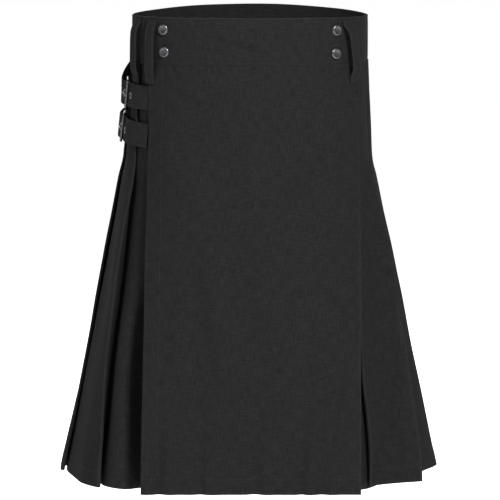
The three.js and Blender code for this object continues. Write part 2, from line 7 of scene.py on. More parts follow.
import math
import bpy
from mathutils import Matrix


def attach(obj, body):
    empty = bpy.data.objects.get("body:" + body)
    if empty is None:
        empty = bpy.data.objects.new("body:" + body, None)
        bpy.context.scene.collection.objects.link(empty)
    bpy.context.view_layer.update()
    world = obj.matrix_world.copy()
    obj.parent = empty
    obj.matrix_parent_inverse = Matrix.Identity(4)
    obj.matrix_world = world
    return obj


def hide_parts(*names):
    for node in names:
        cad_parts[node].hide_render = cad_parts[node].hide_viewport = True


bl_info = {
    "name": "Pleated Utility Kilt",
    "version": (1, 0, 0),
    "blender": (4, 5, 0),
    "location": "3D View > Sidebar > Kilt",
    "description": "Dresses the packed kilt frame with cloth, sewing and metal, and sets the studio",
    "category": "Object",
}

import bpy
import numpy as np
from mathutils import Vector

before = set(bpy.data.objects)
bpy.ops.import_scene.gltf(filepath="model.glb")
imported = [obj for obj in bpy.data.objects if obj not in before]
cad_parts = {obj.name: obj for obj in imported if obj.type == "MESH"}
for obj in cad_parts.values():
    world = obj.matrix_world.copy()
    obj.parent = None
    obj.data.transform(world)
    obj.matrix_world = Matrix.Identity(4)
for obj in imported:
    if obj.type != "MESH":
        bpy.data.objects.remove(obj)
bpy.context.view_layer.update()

MM = 0.001
BODY_NAME = "root"

# Driving sizes, the same as the frame's.
RIM_Z = 30.0
BAND_BOTTOM_Z = -31.6
WAIST_A, WAIST_B = 152.5, 105.5
BAND_THICK = 2.6
BAND_LAP = 3.2
LAP_LEFT_X = -132.0
LAP_RIGHT_X = 96.0
LAYER = 2.2
HEM = 610.0
STITCHED = 185.0
HEM_FRONT_Y = -150.0
BAND_DEPTH = 61.0

# The body by depth under the rim: the oval's half axes and middle, how far the front apron stands
# over it, how far the ridges kick out, how open the pleats are, how far the apron hangs flat, and
# the X of the apron's two edges, of the first and last folds and of the panel behind the apron.
BODY_COLUMNS = (
    "depth", "a", "b", "midY", "midX", "over", "kick",
    "open", "hang", "edgeL", "edgeR", "fold1", "fold12", "panel",
)
BODY = np.array([
    [61, 152.4, 105.5, 0, 0, 3.2, 2.2, 0, 0, -132, 136.2, 149, -144.5, 138.9],
    [84, 153.4, 108.5, 0.8, 0, 6.2, 2.2, 0, 0, -131, 136.8, 149.6, -145, 139.4],
    [100, 154.2, 110.5, 1.5, 0, 6.3, 2.2, 0, 0, -130.5, 137.5, 150.5, -146, 139.8],
    [140, 157, 115.5, 3, -1.5, 6.4, 2.2, 0, 0, -130.5, 139.3, 152.5, -147.5, 141.3],
    [185, 160.8, 121, 5, -2.8, 6.8, 2.2, 0, 0.03, -131.8, 140.2, 155, -149.5, 141.6],
    [215, 163.4, 124.5, 7, -2.7, 6.8, 7, 0.15, 0.075, -132.9, 140.8, 161.5, -152.8, 142.2],
    [260, 167.4, 130, 10.5, -2.6, 7, 12, 0.35, 0.145, -133.7, 141.6, 174, -161.5, 143],
    [320, 175.4, 138, 15, -2, 7, 17, 0.55, 0.26, -135.4, 142.4, 188.9, -171.3, 143.8],
    [390, 186.9, 147.5, 19.5, -1.3, 7, 19, 0.72, 0.415, -135.9, 142.7, 198, -180, 144.2],
    [460, 199.9, 157, 24.5, -1, 7, 19, 0.84, 0.59, -137.3, 142.6, 208.3, -188, 146.6],
    [530, 215.4, 167, 29.5, -0.5, 7, 18, 0.93, 0.78, -139.3, 142.6, 218, -192.2, 153.3],
    [580, 226.9, 174, 33, -1, 7, 17, 0.98, 0.92, -140.4, 142.6, 224.5, -195, 156.7],
    [610, 234.4, 178, 35, -0.7, 7, 16, 1, 1, -140.8, 142.6, 225.8, -196.5, 157.4],
])
# Each pleat: its ridge's bearing under the band and at the hem, its kick at mid height and low down,
# where the next face and its own lie at the hem, and its hidden depth under the band and at the hem.
# The inverted fold and the last one stand at X values of the body instead of bearings.
NONE = float("nan")
PLEAT_COLUMNS = ("top", "hem", "mid", "low", "valley", "face", "under_top", "under_hem")
PLEATS = [dict(zip(PLEAT_COLUMNS, row)) for row in (
    (NONE, NONE, 1.55, 1.55, 0, 3, 8, 26),
    (7.8, 5, 1.05, 1.12, -3, 1, 27, 30),
    (29.8, 28, 0.9, 0.92, -7, -1, 28, 31),
    (49.8, 49.5, 1.02, 1.12, -8, -1, 28, 30),
    (68.1, 69, 0.95, 0.84, -6, -1.5, 28, 29),
    (85.6, 88.5, 1.05, 1.05, -8, -2, 28, 31),
    (102.9, 107, 0.95, 1.14, -7, -1, 28, 30),
    (120.7, 126.5, 1, 0.88, -6, 0, 28, 29),
    (139.8, 146.5, 0.96, 1.1, -8, -1, 28, 31),
    (160.8, 167.5, 1, 1, -7, -1, 28, 30),
    (180.5, 186, 0.95, 1.07, -5, NONE, 26, 30),
    (NONE, NONE, 1.6, 1.9, NONE, 24, 20, 33),
)]
LAST_PLEAT = len(PLEATS) - 1


# Shapes as arrays

def mix(p, q, k):
    """From p to q by the share k."""
    return p + (q - p) * k


def smooth(k):
    """A share from 0 to 1, eased at both ends."""
    k = np.clip(k, 0.0, 1.0)
    return k * k * (3 - 2 * k)


def unit(v):
    """Vectors of length one."""
    return v / np.maximum(np.linalg.norm(v, axis=-1, keepdims=True), 1e-12)


def run_of(line):
    """The length along a line of points up to each of them."""
    steps = np.linalg.norm(np.diff(line, axis=0), axis=-1)
    return np.concatenate([[0], np.cumsum(steps)])


def through(xs, ys, x):
    """A cubic curve through the points (xs, ys) that never overshoots: at each point its slope is
    the weighted harmonic mean of the slopes either side, or none where they differ in sign."""
    h = np.diff(xs)
    slope = np.diff(ys) / h
    before, after = slope[:-1], slope[1:]
    w1, w2 = 2 * h[1:] + h[:-1], h[1:] + 2 * h[:-1]
    same = before * after > 0
    safe_before = np.where(same, before, 1.0)
    safe_after = np.where(same, after, 1.0)
    inner = np.where(same, (w1 + w2) / (w1 / safe_before + w2 / safe_after), 0.0)
    m = np.concatenate([[slope[0]], inner, [slope[-1]]])
    x = np.clip(np.asarray(x, float), xs[0], xs[-1])
    k = np.clip(np.searchsorted(xs, x, side="right") - 1, 0, len(xs) - 2)
    t = (x - xs[k]) / h[k]
    t2, t3 = t * t, t * t * t
    start = (2 * t3 - 3 * t2 + 1) * ys[k] + (t3 - 2 * t2 + t) * h[k] * m[k]
    end = (3 * t2 - 2 * t3) * ys[k + 1] + (t3 - t2) * h[k] * m[k + 1]
    return start + end


def body_at(depth):
    """The body's values at any depths, as a name to an array."""
    return {
        name: through(BODY[:, 0], BODY[:, i], depth) for i, name in enumerate(BODY_COLUMNS)
    }


def on_oval(row, bearing, r):
    """Points by bearing in degrees, r outside the row's oval: the oval's half axes grow by r."""
    t = np.radians(bearing)
    x = row["midX"] + (row["a"] + r) * np.cos(t)
    y = row["midY"] + (row["b"] + r) * np.sin(t)
    return np.stack(np.broadcast_arrays(x, y), -1)


def over(row, x, inward):
    """Points of the front apron by X, moved inwards: from following the hip to hanging flat."""
    r = row["over"] - np.minimum(inward, 12)
    u = (x - row["midX"]) / (row["a"] + r)
    y = row["midY"] - (row["b"] + r) * np.sqrt(np.maximum(1 - u * u, 0))
    y = mix(y, HEM_FRONT_Y + inward, row["hang"])
    return np.stack(np.broadcast_arrays(x, y), -1)


def turn(row, bearing, length):
    """The turn in degrees that a length along the row's oval takes at a bearing."""
    t = np.radians(bearing)
    return np.degrees(length / np.hypot(row["a"] * np.sin(t), row["b"] * np.cos(t)))


def rise(x, y):
    """The rim's level round the waist: it dips at the sides and rises at the back."""
    t = np.arctan2(y / WAIST_B, x / WAIST_A)
    return -2 * np.cos(t) ** 2 + np.where(y > 0, 5 * np.sin(t) ** 2, 0)


def droop(x, y):
    """How far the band's lower edge droops at the right front."""
    t = np.degrees(np.arctan2(y / WAIST_B, x / WAIST_A))
    return 5 * np.exp(-(((t + 43) / 15) ** 2))


def ridge(row, i):
    """A pleat's ridge: its bearing and how far it stands off the oval."""
    pleat = PLEATS[i]
    share = np.clip((row["depth"] - 320) / (HEM - 320), 0, 1)
    r = LAYER + (row["kick"] - LAYER) * mix(pleat["mid"], pleat["low"], share)
    if i == 0:
        return -np.degrees(np.arccos((row["fold1"] - row["midX"]) / (row["a"] + r))), r
    if i == LAST_PLEAT:
        return 180 + np.degrees(np.arccos((row["midX"] - row["fold12"]) / (row["a"] + r))), r
    spread = np.maximum(0, (row["depth"] - STITCHED) / (HEM - STITCHED))
    return mix(pleat["top"], pleat["hem"], spread), r


def inner_fold(row, i):
    """The bearing of a pleat's inner fold, hidden under its own face."""
    t, _ = ridge(row, i)
    return t - turn(row, t, mix(PLEATS[i]["under_top"], PLEATS[i]["under_hem"], row["open"]))


def valley_of(row, i):
    """Where the next face lies at a pleat's inner fold: the last one close under the fold over it."""
    if i <= LAST_PLEAT and PLEATS[i]["valley"] is NONE:
        return ridge(row, i - 1)[1] - 2 * LAYER - 1.2 * row["open"]
    return mix(-LAYER, PLEATS[i]["valley"] if i <= LAST_PLEAT else 1.0, row["open"])


def ridge_fold(row, i):
    """The two points of a pleat's outer fold: on its ridge, and just inside it on the way back."""
    t, r = ridge(row, i)
    back = t - turn(row, t, row["open"])
    return [on_oval(row, t, r), on_oval(row, back, r - LAYER - row["open"])]


def pleat_face(row, i):
    """A pleat's face: from the valley past the ridge before, under that fold, to its own ridge."""
    t0, _ = ridge(row, i - 1)
    t, r = ridge(row, i)
    inside = inner_fold(row, i)
    face = PLEATS[i]["face"]
    crossing = r + 0.6 * row["open"] if face is NONE else mix(LAYER, face, row["open"])
    return [
        on_oval(row, t0 + turn(row, t0, 3), valley_of(row, i)),
        on_oval(row, inside - turn(row, inside, 4), crossing),
        on_oval(row, mix(inside, t, 0.48), mix(crossing, r, 0.57)),
        *ridge_fold(row, i),
    ]


def hidden_fold(row, i):
    """The two points of a pleat's inner fold, one layer apart where the next face starts."""
    inside = inner_fold(row, i)
    after = valley_of(row, i + 1)
    return [
        on_oval(row, inside, after + LAYER + row["open"]),
        on_oval(row, inside, after - row["open"]),
    ]


def join(row, i, share):
    """Where two lengths of cloth meet, hidden behind a pleat: a share of the way to its inner fold."""
    return mix(ridge_fold(row, i)[1], hidden_fold(row, i)[0], share)


FOLD = 1.05  # the corner cut at a pressed fold
SOFT = -1.0  # a corner that is rounded as far as its neighbours let it
BEND = 7  # points round a corner
JOIN, JOIN_GAP = 0.55, 0.03
FACE_CUTS = [SOFT, SOFT, SOFT, FOLD, FOLD]
HIDDEN_CUTS = [FOLD, FOLD]


def pleat_run(row, first, last):
    """Faces and folds from one pleat to another, ending at the join behind the last."""
    points, cuts = [], []
    for i in range(first, last + 1):
        points += pleat_face(row, i)
        cuts += FACE_CUTS
        if i < last:
            points += hidden_fold(row, i)
            cuts += HIDDEN_CUTS
    return points + [join(row, last, JOIN - JOIN_GAP)], cuts + [SOFT]


def apron_over_path(row):
    """The front apron: across the front and a little way back under its right fold."""
    columns = 28
    points = []
    for even in np.linspace(0, 1, columns + 1):
        eased = (1 - math.cos(math.pi * even)) / 2
        x = mix(row["edgeL"], row["edgeR"], mix(even, eased, 0.6))
        points.append(over(row, x, 0))
    points.append(over(row, row["edgeR"] - 0.2 - row["hang"], LAYER + 0.3))
    inward = mix(LAYER + 0.2, 20.5, row["hang"])
    points.append(over(row, mix(row["edgeR"] - 12, 118, row["hang"]), inward))
    return points, [SOFT] * columns + [FOLD, FOLD, SOFT], {}


def right_path(row):
    """From the cloth hidden behind the apron's right fold to the end of the right run."""
    k = row["open"]
    fold = -np.degrees(np.arccos((row["panel"] - row["midX"]) / (row["a"] + 3)))

    def past(length, r):
        """A length past the fold along the oval, by r over it."""
        return on_oval(row, fold + turn(row, fold, length), r)

    def behind(x, inward):
        """Behind the apron, by x inside its right edge."""
        hanging = 117.4 - (x - 12.4) * 0.95
        return over(row, mix(row["edgeR"] - x, hanging, row["hang"]), inward)

    deep = mix(8.5, 20, k)
    first = inner_fold(row, 0) - turn(row, -20.0, mix(1, 3, k))
    points = [
        behind(12.4, mix(LAYER + 0.2, 20.8, row["hang"])),
        behind(25, mix(LAYER + 0.2, 25.5, row["hang"])),
        behind(25, mix(2 * LAYER + 0.4, 29, row["hang"])),
        past(1.0, mix(-LAYER, -9.2, k)),
        past(deep, mix(-LAYER, -9.6, k)),
        past(deep, mix(0, -6.8, k)),
        past(mix(4, 7, k), mix(0, -6.6, k)),
        past(-1.2 * k, mix(0, 1.6, k)),
        past(0.0, mix(LAYER, 4, k)),
        past(mix(6, 9, k), mix(LAYER, -3.5, k)),
        on_oval(row, first, mix(LAYER, PLEATS[0]["face"], k)),
        *ridge_fold(row, 0),
        *hidden_fold(row, 0),
    ]
    cuts = [SOFT, FOLD, FOLD, SOFT, FOLD, FOLD, SOFT, FOLD, FOLD, SOFT, SOFT]
    cuts += [FOLD, FOLD, *HIDDEN_CUTS]
    more, more_cuts = pleat_run(row, 1, 3)
    return points + more, cuts + more_cuts, {3: 5 * k, 4: 2 * k}


def run_path(first, last):
    """The path of a length of pleats, from the join behind the pleat before its first."""

    def path(row):
        """The hidden join, then the ridges, faces and valleys in order."""
        points, cuts = pleat_run(row, first, last)
        before = [join(row, first - 1, JOIN), *hidden_fold(row, first - 1)]
        return before + points, [SOFT, *HIDDEN_CUTS, *cuts], {}

    return path


def under_path(row):
    """The under apron: from the last pleat's hidden fold across the front, inside the apron."""
    last, _ = ridge(row, LAST_PLEAT)
    k = row["open"]
    lip_x = -131 - 31 * smooth((k - 0.5) / 0.4)
    lip = 180 + np.degrees(np.arccos((row["midX"] - lip_x) / (row["a"] + 12 * k)))
    points = [
        join(row, LAST_PLEAT, JOIN),
        *hidden_fold(row, LAST_PLEAT),
        on_oval(row, last + turn(row, last, mix(1, 0.5, k)), mix(-LAYER, 19, k)),
        on_oval(row, lip - 3 * (1 - k), 12 * k),
        on_oval(row, lip + 0.3 * k, -28 * k),
    ]
    start = lip + mix(2.7, 6.5, k)
    end = 360 - np.degrees(np.arccos((LAP_RIGHT_X - row["midX"]) / row["a"]))
    columns = 13
    for i in range(columns + 1):
        r = mix(0, -2.5 if i else 0.0, k)
        points.append(on_oval(row, mix(start, end, i / columns), r))
    cuts = [SOFT, *HIDDEN_CUTS] + [SOFT] * (columns + 4)
    return points, cuts, {4: 2 * k, 5: 4 * k, 6: 2 * k}


def rounded(points, cuts, drops, cell=3.0):
    """A path, the same number of points in every row. Each corner becomes a quadratic curve that
    starts and ends one cut away from it, and each straight is divided evenly."""
    v = np.stack(points, 1)
    drop = np.zeros(v.shape[:2])
    for i, value in drops.items():
        drop[:, i] = value
    v = np.concatenate([v, drop[..., None]], -1)
    seg = v[:, 1:] - v[:, :-1]
    length = np.maximum(np.linalg.norm(seg[..., :2], axis=-1), 1e-6)
    ends = [v[:, 0]]
    starts = []
    curves = []
    fold = []
    share = np.linspace(0, 1, BEND)[None, :, None]
    for j in range(1, v.shape[1] - 1):
        room = 0.48 * np.minimum(length[:, j - 1], length[:, j])
        c = room if cuts[j] < 0 else np.minimum(room, cuts[j])
        p = v[:, j] - seg[:, j - 1] / length[:, j - 1, None] * c[:, None]
        q = v[:, j] + seg[:, j] / length[:, j, None] * c[:, None]
        corner = (1 - share) ** 2 * p[:, None] + 2 * share * (1 - share) * v[:, j, None]
        curves.append(corner + share**2 * q[:, None])
        starts.append(p)
        ends.append(q)
        fold.append(0.0 if cuts[j] < 0 else 1.0)
    starts.append(v[:, -1])
    out, marks = [], []
    for j, (p, q) in enumerate(zip(ends, starts)):
        n = max(1, int(round(np.max(np.linalg.norm(q - p, axis=-1)) / cell)))
        steps = np.linspace(0, 1, n + 1)[None, :, None]
        inner = p[:, None] + (q - p)[:, None] * steps
        first = 0 if j == 0 else 1
        last = n + 1 if j == len(starts) - 1 else n
        out.append(inner[:, first:last])
        marks.append(np.zeros(last - first))
        if j < len(curves):
            out.append(curves[j])
            marks.append(np.full(BEND, fold[j]))
    return np.concatenate(out, 1), np.concatenate(marks)


def depth_rows(step):
    """Depths from the band to the hem, closer together at both ends."""
    return np.concatenate([
        [BAND_DEPTH - 2.5, BAND_DEPTH - 0.8, BAND_DEPTH + 2],
        np.arange(BAND_DEPTH + 4, HEM - 6, step),
        [HEM - 5, HEM - 3, HEM - 1.2, HEM],
    ])


def lay(path_of, depth):
    """Middle points of a cloth panel from its path at each depth: the height falls with depth,
    with the rim's level fading out below the band."""
    row = body_at(depth)
    plan, fold = rounded(*path_of(row))
    x, y, drop = plan[..., 0], plan[..., 1], plan[..., 2]
    fade = np.maximum(0, 1 - (depth - BAND_DEPTH) / 120)[:, None]
    top = np.clip(1 - (depth - BAND_DEPTH) / 23, 0, 1)[:, None]
    z = RIM_Z - depth[:, None] + rise(x, y) * fade - (0.75 + droop(x, y)) * top - drop
    return np.stack([x, y, z], -1), fold


def normals_of(points):
    """The outward direction at each grid point: down the cloth crossed with along it."""
    down = np.gradient(points, axis=0)
    along = np.gradient(points, axis=1)
    return unit(np.cross(down, along))


def tucks(points, depth, table):
    """Height of creases over a panel: each is a ridge along a straight line between two points by
    X and depth, a bell across and eased along. Over half its width its height falls by a half."""
    x = points[..., 0]
    d = np.broadcast_to(depth[:, None], x.shape)
    out = np.zeros_like(x)
    for x0, d0, x1, d1, width, height in table:
        out += height * crease_share(x, d, x0, d0, x1, d1, width)
    return out


def crease_share(x, d, x0, d0, x1, d1, width):
    """A crease's height as a share: a bell across its line, eased at both ends."""
    ax, ad = x1 - x0, d1 - d0
    size = math.hypot(ax, ad)
    s = ((x - x0) * ax + (d - d0) * ad) / size**2
    off = ((x - x0) * ad - (d - d0) * ax) / size
    return np.exp(-((off / width) ** 2)) * smooth(s / 0.3) * smooth((1 - s) / 0.3)


def wander(u, v, seed, waves):
    """A smooth uneven height: a sum of crossing sine waves, three of each length, their phases and
    stretches drawn from the seed."""
    out = np.zeros(np.broadcast(u, v).shape)
    rng = np.random.default_rng(seed)
    for length, share, height in waves:
        for _ in range(3):
            p, q = rng.uniform(0, 2 * math.pi, 2)
            k = rng.uniform(0.75, 1.3)
            across = math.tau * k * (u + v * share / 3) / length + p
            out = out + height / 3 * np.sin(across) * np.cos(math.tau * share * v / length / k + q)
    return out


# Meshes

def put_mesh(name, points, faces, uv=None, values=None, sharp=60.0):
    """A mesh object from arrays: points in millimetres, faces as arrays of 3 or 4 corners, UV and
    named values a point each."""
    faces = [f for f in faces if len(f)]
    mesh = bpy.data.meshes.new(name)
    corners = np.concatenate([f.ravel() for f in faces]).astype(np.int32)
    totals = np.concatenate([np.full(len(f), f.shape[1]) for f in faces]).astype(np.int32)
    starts = np.concatenate([[0], np.cumsum(totals)[:-1]]).astype(np.int32)
    mesh.vertices.add(len(points))
    mesh.vertices.foreach_set("co", (np.asarray(points) * MM).astype(np.float32).ravel())
    mesh.loops.add(len(corners))
    mesh.loops.foreach_set("vertex_index", corners)
    mesh.polygons.add(len(totals))
    mesh.polygons.foreach_set("loop_start", starts)
    mesh.polygons.foreach_set("loop_total", totals)
    mesh.polygons.foreach_set("use_smooth", np.ones(len(totals), bool))
    mesh.update(calc_edges=True)
    if uv is not None:
        layer = mesh.uv_layers.new(name="cloth")
        layer.data.foreach_set("uv", (uv[corners] * MM).astype(np.float32).ravel())
    for key, value in (values or {}).items():
        made = mesh.attributes.new(key, "FLOAT", "POINT")
        made.data.foreach_set("value", np.asarray(value, np.float32))
    mesh.validate()
    mesh.set_sharp_from_angle(angle=math.radians(sharp))
    piece = bpy.data.objects.new(name, mesh)
    bpy.context.scene.collection.objects.link(piece)
    return piece


def shell_faces(keep):
    """Faces of a two-sided grid: the outer side, the inner side, and a wall along every edge
    between a kept cell and one that isn't."""
    rows, cols = keep.shape[0] + 1, keep.shape[1] + 1
    ids = np.arange(rows * cols).reshape(rows, cols)
    other = rows * cols
    a, b, c, d = ids[:-1, :-1], ids[1:, :-1], ids[1:, 1:], ids[:-1, 1:]
    quads = np.stack([a, b, c, d], -1)[keep]
    faces = [quads, quads[:, ::-1] + other]
    framed = np.pad(keep, 1)
    beside = (
        (framed[1:-1, :-2], a, b),
        (framed[2:, 1:-1], b, c),
        (framed[1:-1, 2:], c, d),
        (framed[:-2, 1:-1], d, a),
    )
    for neighbour, p, q in beside:
        edge = keep & ~neighbour
        p, q = p[edge], q[edge]
        faces.append(np.stack([q, p, p + other, q + other], -1))
    return faces


def cloth_uv(points):
    """Lengths along and down a grid, averaged so that the weave stays square."""
    along = np.linalg.norm(np.diff(points, axis=1), axis=-1).mean(0)
    down = np.linalg.norm(np.diff(points, axis=0), axis=-1).mean(1)
    u = np.concatenate([[0], np.cumsum(along)])
    v = np.concatenate([[0], np.cumsum(down)])
    return np.stack(np.broadcast_arrays(u[None, :], -v[:, None]), -1)


def put_shell(name, points, half, wear, keep=None, extra=None):
    """A thin cloth piece from a grid of middle points: both sides stand half a thickness off."""
    normal = normals_of(points)
    half = np.broadcast_to(half, points.shape[:2])[..., None]
    both = np.concatenate([
        (points + normal * half).reshape(-1, 3),
        (points - normal * half).reshape(-1, 3),
    ])
    if keep is None:
        keep = np.ones((points.shape[0] - 1, points.shape[1] - 1), bool)
    uv = cloth_uv(points).reshape(-1, 2)
    # The painted highlight, a value for each point: how far its colour is painted paler, as if light
    # caught it.
    values = {"wear": np.broadcast_to(wear, points.shape[:2])}
    values.update(extra or {})
    doubled = {k: np.tile(np.asarray(v, float).ravel(), 2) for k, v in values.items()}
    return put_mesh(name, both, shell_faces(keep), np.tile(uv, (2, 1)), doubled)


def line_on(points, lift, rows, cols):
    """Points on a grid's outer side by fractional row and column, with their normals."""
    normal = normals_of(points)
    rows, cols = np.broadcast_arrays(np.asarray(rows, float), np.asarray(cols, float))
    i = np.clip(rows.astype(int), 0, points.shape[0] - 2)
    j = np.clip(cols.astype(int), 0, points.shape[1] - 2)
    u, v = (rows - i)[:, None], (cols - j)[:, None]

    def between(grid):
        """The grid's values mixed between the four corners around each place."""
        top = mix(grid[i, j], grid[i, j + 1], v)
        low = mix(grid[i + 1, j], grid[i + 1, j + 1], v)
        return mix(top, low, u)

    n = unit(between(normal))
    return between(points) + n * lift, n


def seam_of(line, normal, pitch=3.3, length=2.5, width=0.5, height=0.28):
    """Stitches along a line: one short thread each, its ends sunk into the cloth."""
    run = run_of(line)
    count = max(1, int(run[-1] / pitch))
    centre = (np.arange(count) + 0.5) * run[-1] / count

    def at(values, s):
        """The values mixed to a length along the line."""
        return np.stack([np.interp(s, run, values[:, k]) for k in range(3)], -1)

    c = at(line, centre)
    along = unit(at(line, centre + length / 2) - at(line, centre - length / 2))
    n = unit(at(normal, centre))
    side = unit(np.cross(along, n))
    where = np.array([-1.0, -0.62, 0.62, 1.0]) * length / 2
    scale = np.array([0.4, 1.0, 1.0, 0.4])
    dip = np.array([-0.75, 0.1, 0.1, -0.75]) * height
    angle = np.radians(np.arange(5) * 72 + 90)
    ring_side = np.cos(angle)[None] * (width / 2 * scale)[:, None]
    ring_up = np.sin(angle)[None] * (height / 2 * scale)[:, None] + dip[:, None]
    points = (
        c[:, None, None]
        + along[:, None, None] * where[None, :, None, None]
        + side[:, None, None] * ring_side[None, ..., None]
        + n[:, None, None] * ring_up[None, ..., None]
    )
    return points.reshape(-1, 3), count


def stitch_faces(count):
    """Faces of that many stitches, each a tube of four rings of five with closed ends."""
    ring = np.arange(5)
    nxt = (ring + 1) % 5
    quads = np.concatenate([
        np.stack([(k + 1) * 5 + ring, (k + 1) * 5 + nxt, k * 5 + nxt, k * 5 + ring], -1)
        for k in range(3)
    ])
    caps = np.array([[0, 1, 2, 3, 4], [19, 18, 17, 16, 15]])
    base = (np.arange(count) * 20)[:, None, None]
    return [(base + quads[None]).reshape(-1, 4), (base + caps[None]).reshape(-1, 5)]


def put_stitches(name, seams):
    """All the stitches of a group of seams, as one piece."""
    made = [seam_of(*seam) for seam in seams]
    points = np.concatenate([m[0] for m in made])
    return put_mesh(name, points, stitch_faces(sum(m[1] for m in made)), sharp=180.0)


def loft(name, rings, closed, values=None, sharp=50.0, uv=None):
    """A solid from rings of points, each ring closed; flat ends unless the rings close too."""
    count, size = rings.shape[:2]
    ids = np.arange(count * size).reshape(count, size)
    nxt = np.roll(ids, -1, axis=1)
    a, b = ids, nxt
    if closed:
        c, d = np.roll(nxt, -1, axis=0), np.roll(ids, -1, axis=0)
    else:
        a, b, c, d = a[:-1], b[:-1], nxt[1:], ids[1:]
    faces = [np.stack([a, b, c, d], -1).reshape(-1, 4)]
    if not closed:
        faces.append(ids[0][::-1][None])
        faces.append(ids[-1][None])
    points = rings.reshape(-1, 3)
    if loft_volume(rings, closed) < 0:
        faces = [f[:, ::-1] for f in faces]
    return put_mesh(name, points, faces, uv, values, sharp)


def loft_volume(rings, closed):
    """The signed volume inside a loft: the sum of its triangles' triple products."""
    p = rings if closed else rings[:-1]
    q = np.roll(rings, -1, axis=0) if closed else rings[1:]
    pn, qn = np.roll(p, -1, axis=1), np.roll(q, -1, axis=1)
    total = np.einsum("...i,...i", p, np.cross(pn, qn)).sum()
    total += np.einsum("...i,...i", p, np.cross(qn, q)).sum()
    if not closed:
        for ring, way in ((rings[0], -1.0), (rings[-1], 1.0)):
            fan = np.cross(ring[1:-1], ring[2:])
            total += way * (fan @ ring[0]).sum()
    return total


TIP = 0.05  # the smallest radius, where a profile starts or ends on its axis


def turned(name, profile, centre, axis, segments=40):
    """A turned piece: a profile of radius and height carried once round an axis. A profile that
    starts on the axis is capped there, and another closes to itself."""
    side = unit(np.array([0, 0, 1.0]) - axis * axis[2])
    other = np.cross(axis, side)
    a = np.arange(segments) * 2 * math.pi / segments
    ring = np.cos(a)[:, None] * side + np.sin(a)[:, None] * other
    profile = np.array(profile, float)
    radius = np.maximum(profile[:, 0], TIP)
    points = centre + axis * profile[:, 1, None, None] + ring[None] * radius[:, None, None]
    return loft(name, points, closed=profile[0, 0] > 0)


def section(width, thick, flat=9, bend=3):
    """Across and out offsets of a strip with rounded edges, once round."""
    r = thick / 2
    across = np.linspace(-1, 1, flat) * (width / 2 - r)
    a = np.radians(np.linspace(-90, 90, 2 * bend + 1)[1:-1])
    right = np.stack([width / 2 - r + r * np.cos(a), r * np.sin(a)], -1)
    low = np.stack([across, np.full(flat, -r)], -1)
    return np.concatenate([low, right, -low, -right])


# Materials
WAVE_SCALE = 0.314  # a wave texture's scale for one wave in one unit of length


def node(tree, kind, label, at, **settings):
    """A named node at a place in the node editor, with its settings."""
    made = tree.nodes.new(kind)
    made.name = made.label = label
    made.location = at
    for key, value in settings.items():
        setattr(made, key, value)
    return made


def start_material(name):
    """A material with one surface shader: the material, its node tree and the shader."""
    material = bpy.data.materials.new(name)
    material.use_nodes = True
    tree = material.node_tree
    tree.nodes.clear()
    out = node(tree, "ShaderNodeOutputMaterial", "Output", (900, 0))
    shader = node(tree, "ShaderNodeBsdfPrincipled", "Surface", (600, 0))
    tree.links.new(shader.outputs["BSDF"], out.inputs["Surface"])
    return material, tree, shader


def ramp(tree, label, at, stops):
    """A colour ramp by its stops: each a place with a colour or a level of grey."""
    made = node(tree, "ShaderNodeValToRGB", label, at)
    elements = made.color_ramp.elements
    while len(elements) < len(stops):
        elements.new(0.5)
    for element, (place, value) in zip(elements, stops):
        element.position = place
        element.color = (*value, 1.0) if hasattr(value, "__len__") else (value, value, value, 1.0)
    return made


def noise(tree, label, at, vector, scale, detail=2.0, roughness=0.5):
    """A noise texture over a vector."""
    made = node(tree, "ShaderNodeTexNoise", label, at)
    made.inputs["Scale"].default_value = scale
    made.inputs["Detail"].default_value = detail
    made.inputs["Roughness"].default_value = roughness
    tree.links.new(vector, made.inputs["Vector"])
    return made


def stretched(tree, label, at, vector, scale, rotation=(0, 0, 0)):
    """A vector turned and scaled."""
    made = node(tree, "ShaderNodeMapping", label, at)
    made.inputs["Scale"].default_value = scale
    made.inputs["Rotation"].default_value = rotation
    tree.links.new(vector, made.inputs["Vector"])
    return made


def scaled_sum(tree, label, at, first, factor, second):
    """The first value times a factor, plus the second."""
    made = node(tree, "ShaderNodeMath", label, at, operation="MULTIPLY_ADD")
    made.inputs[1].default_value = factor
    tree.links.new(first, made.inputs[0])
    tree.links.new(second, made.inputs[2])
    return made


def add_relief(tree, shader, label, at, height, strength, distance):
    """Tilts the shader's normals by a height."""
    bump = node(tree, "ShaderNodeBump", label, at)
    bump.inputs["Strength"].default_value = strength
    bump.inputs["Distance"].default_value = distance
    tree.links.new(height, bump.inputs["Height"])
    tree.links.new(bump.outputs["Normal"], shader.inputs["Normal"])


def drive(tree, value, made, socket):
    """Links a value through a ramp's factor to a shader's socket."""
    tree.links.new(value, made.inputs["Fac"])
    tree.links.new(made.outputs["Color"], socket)


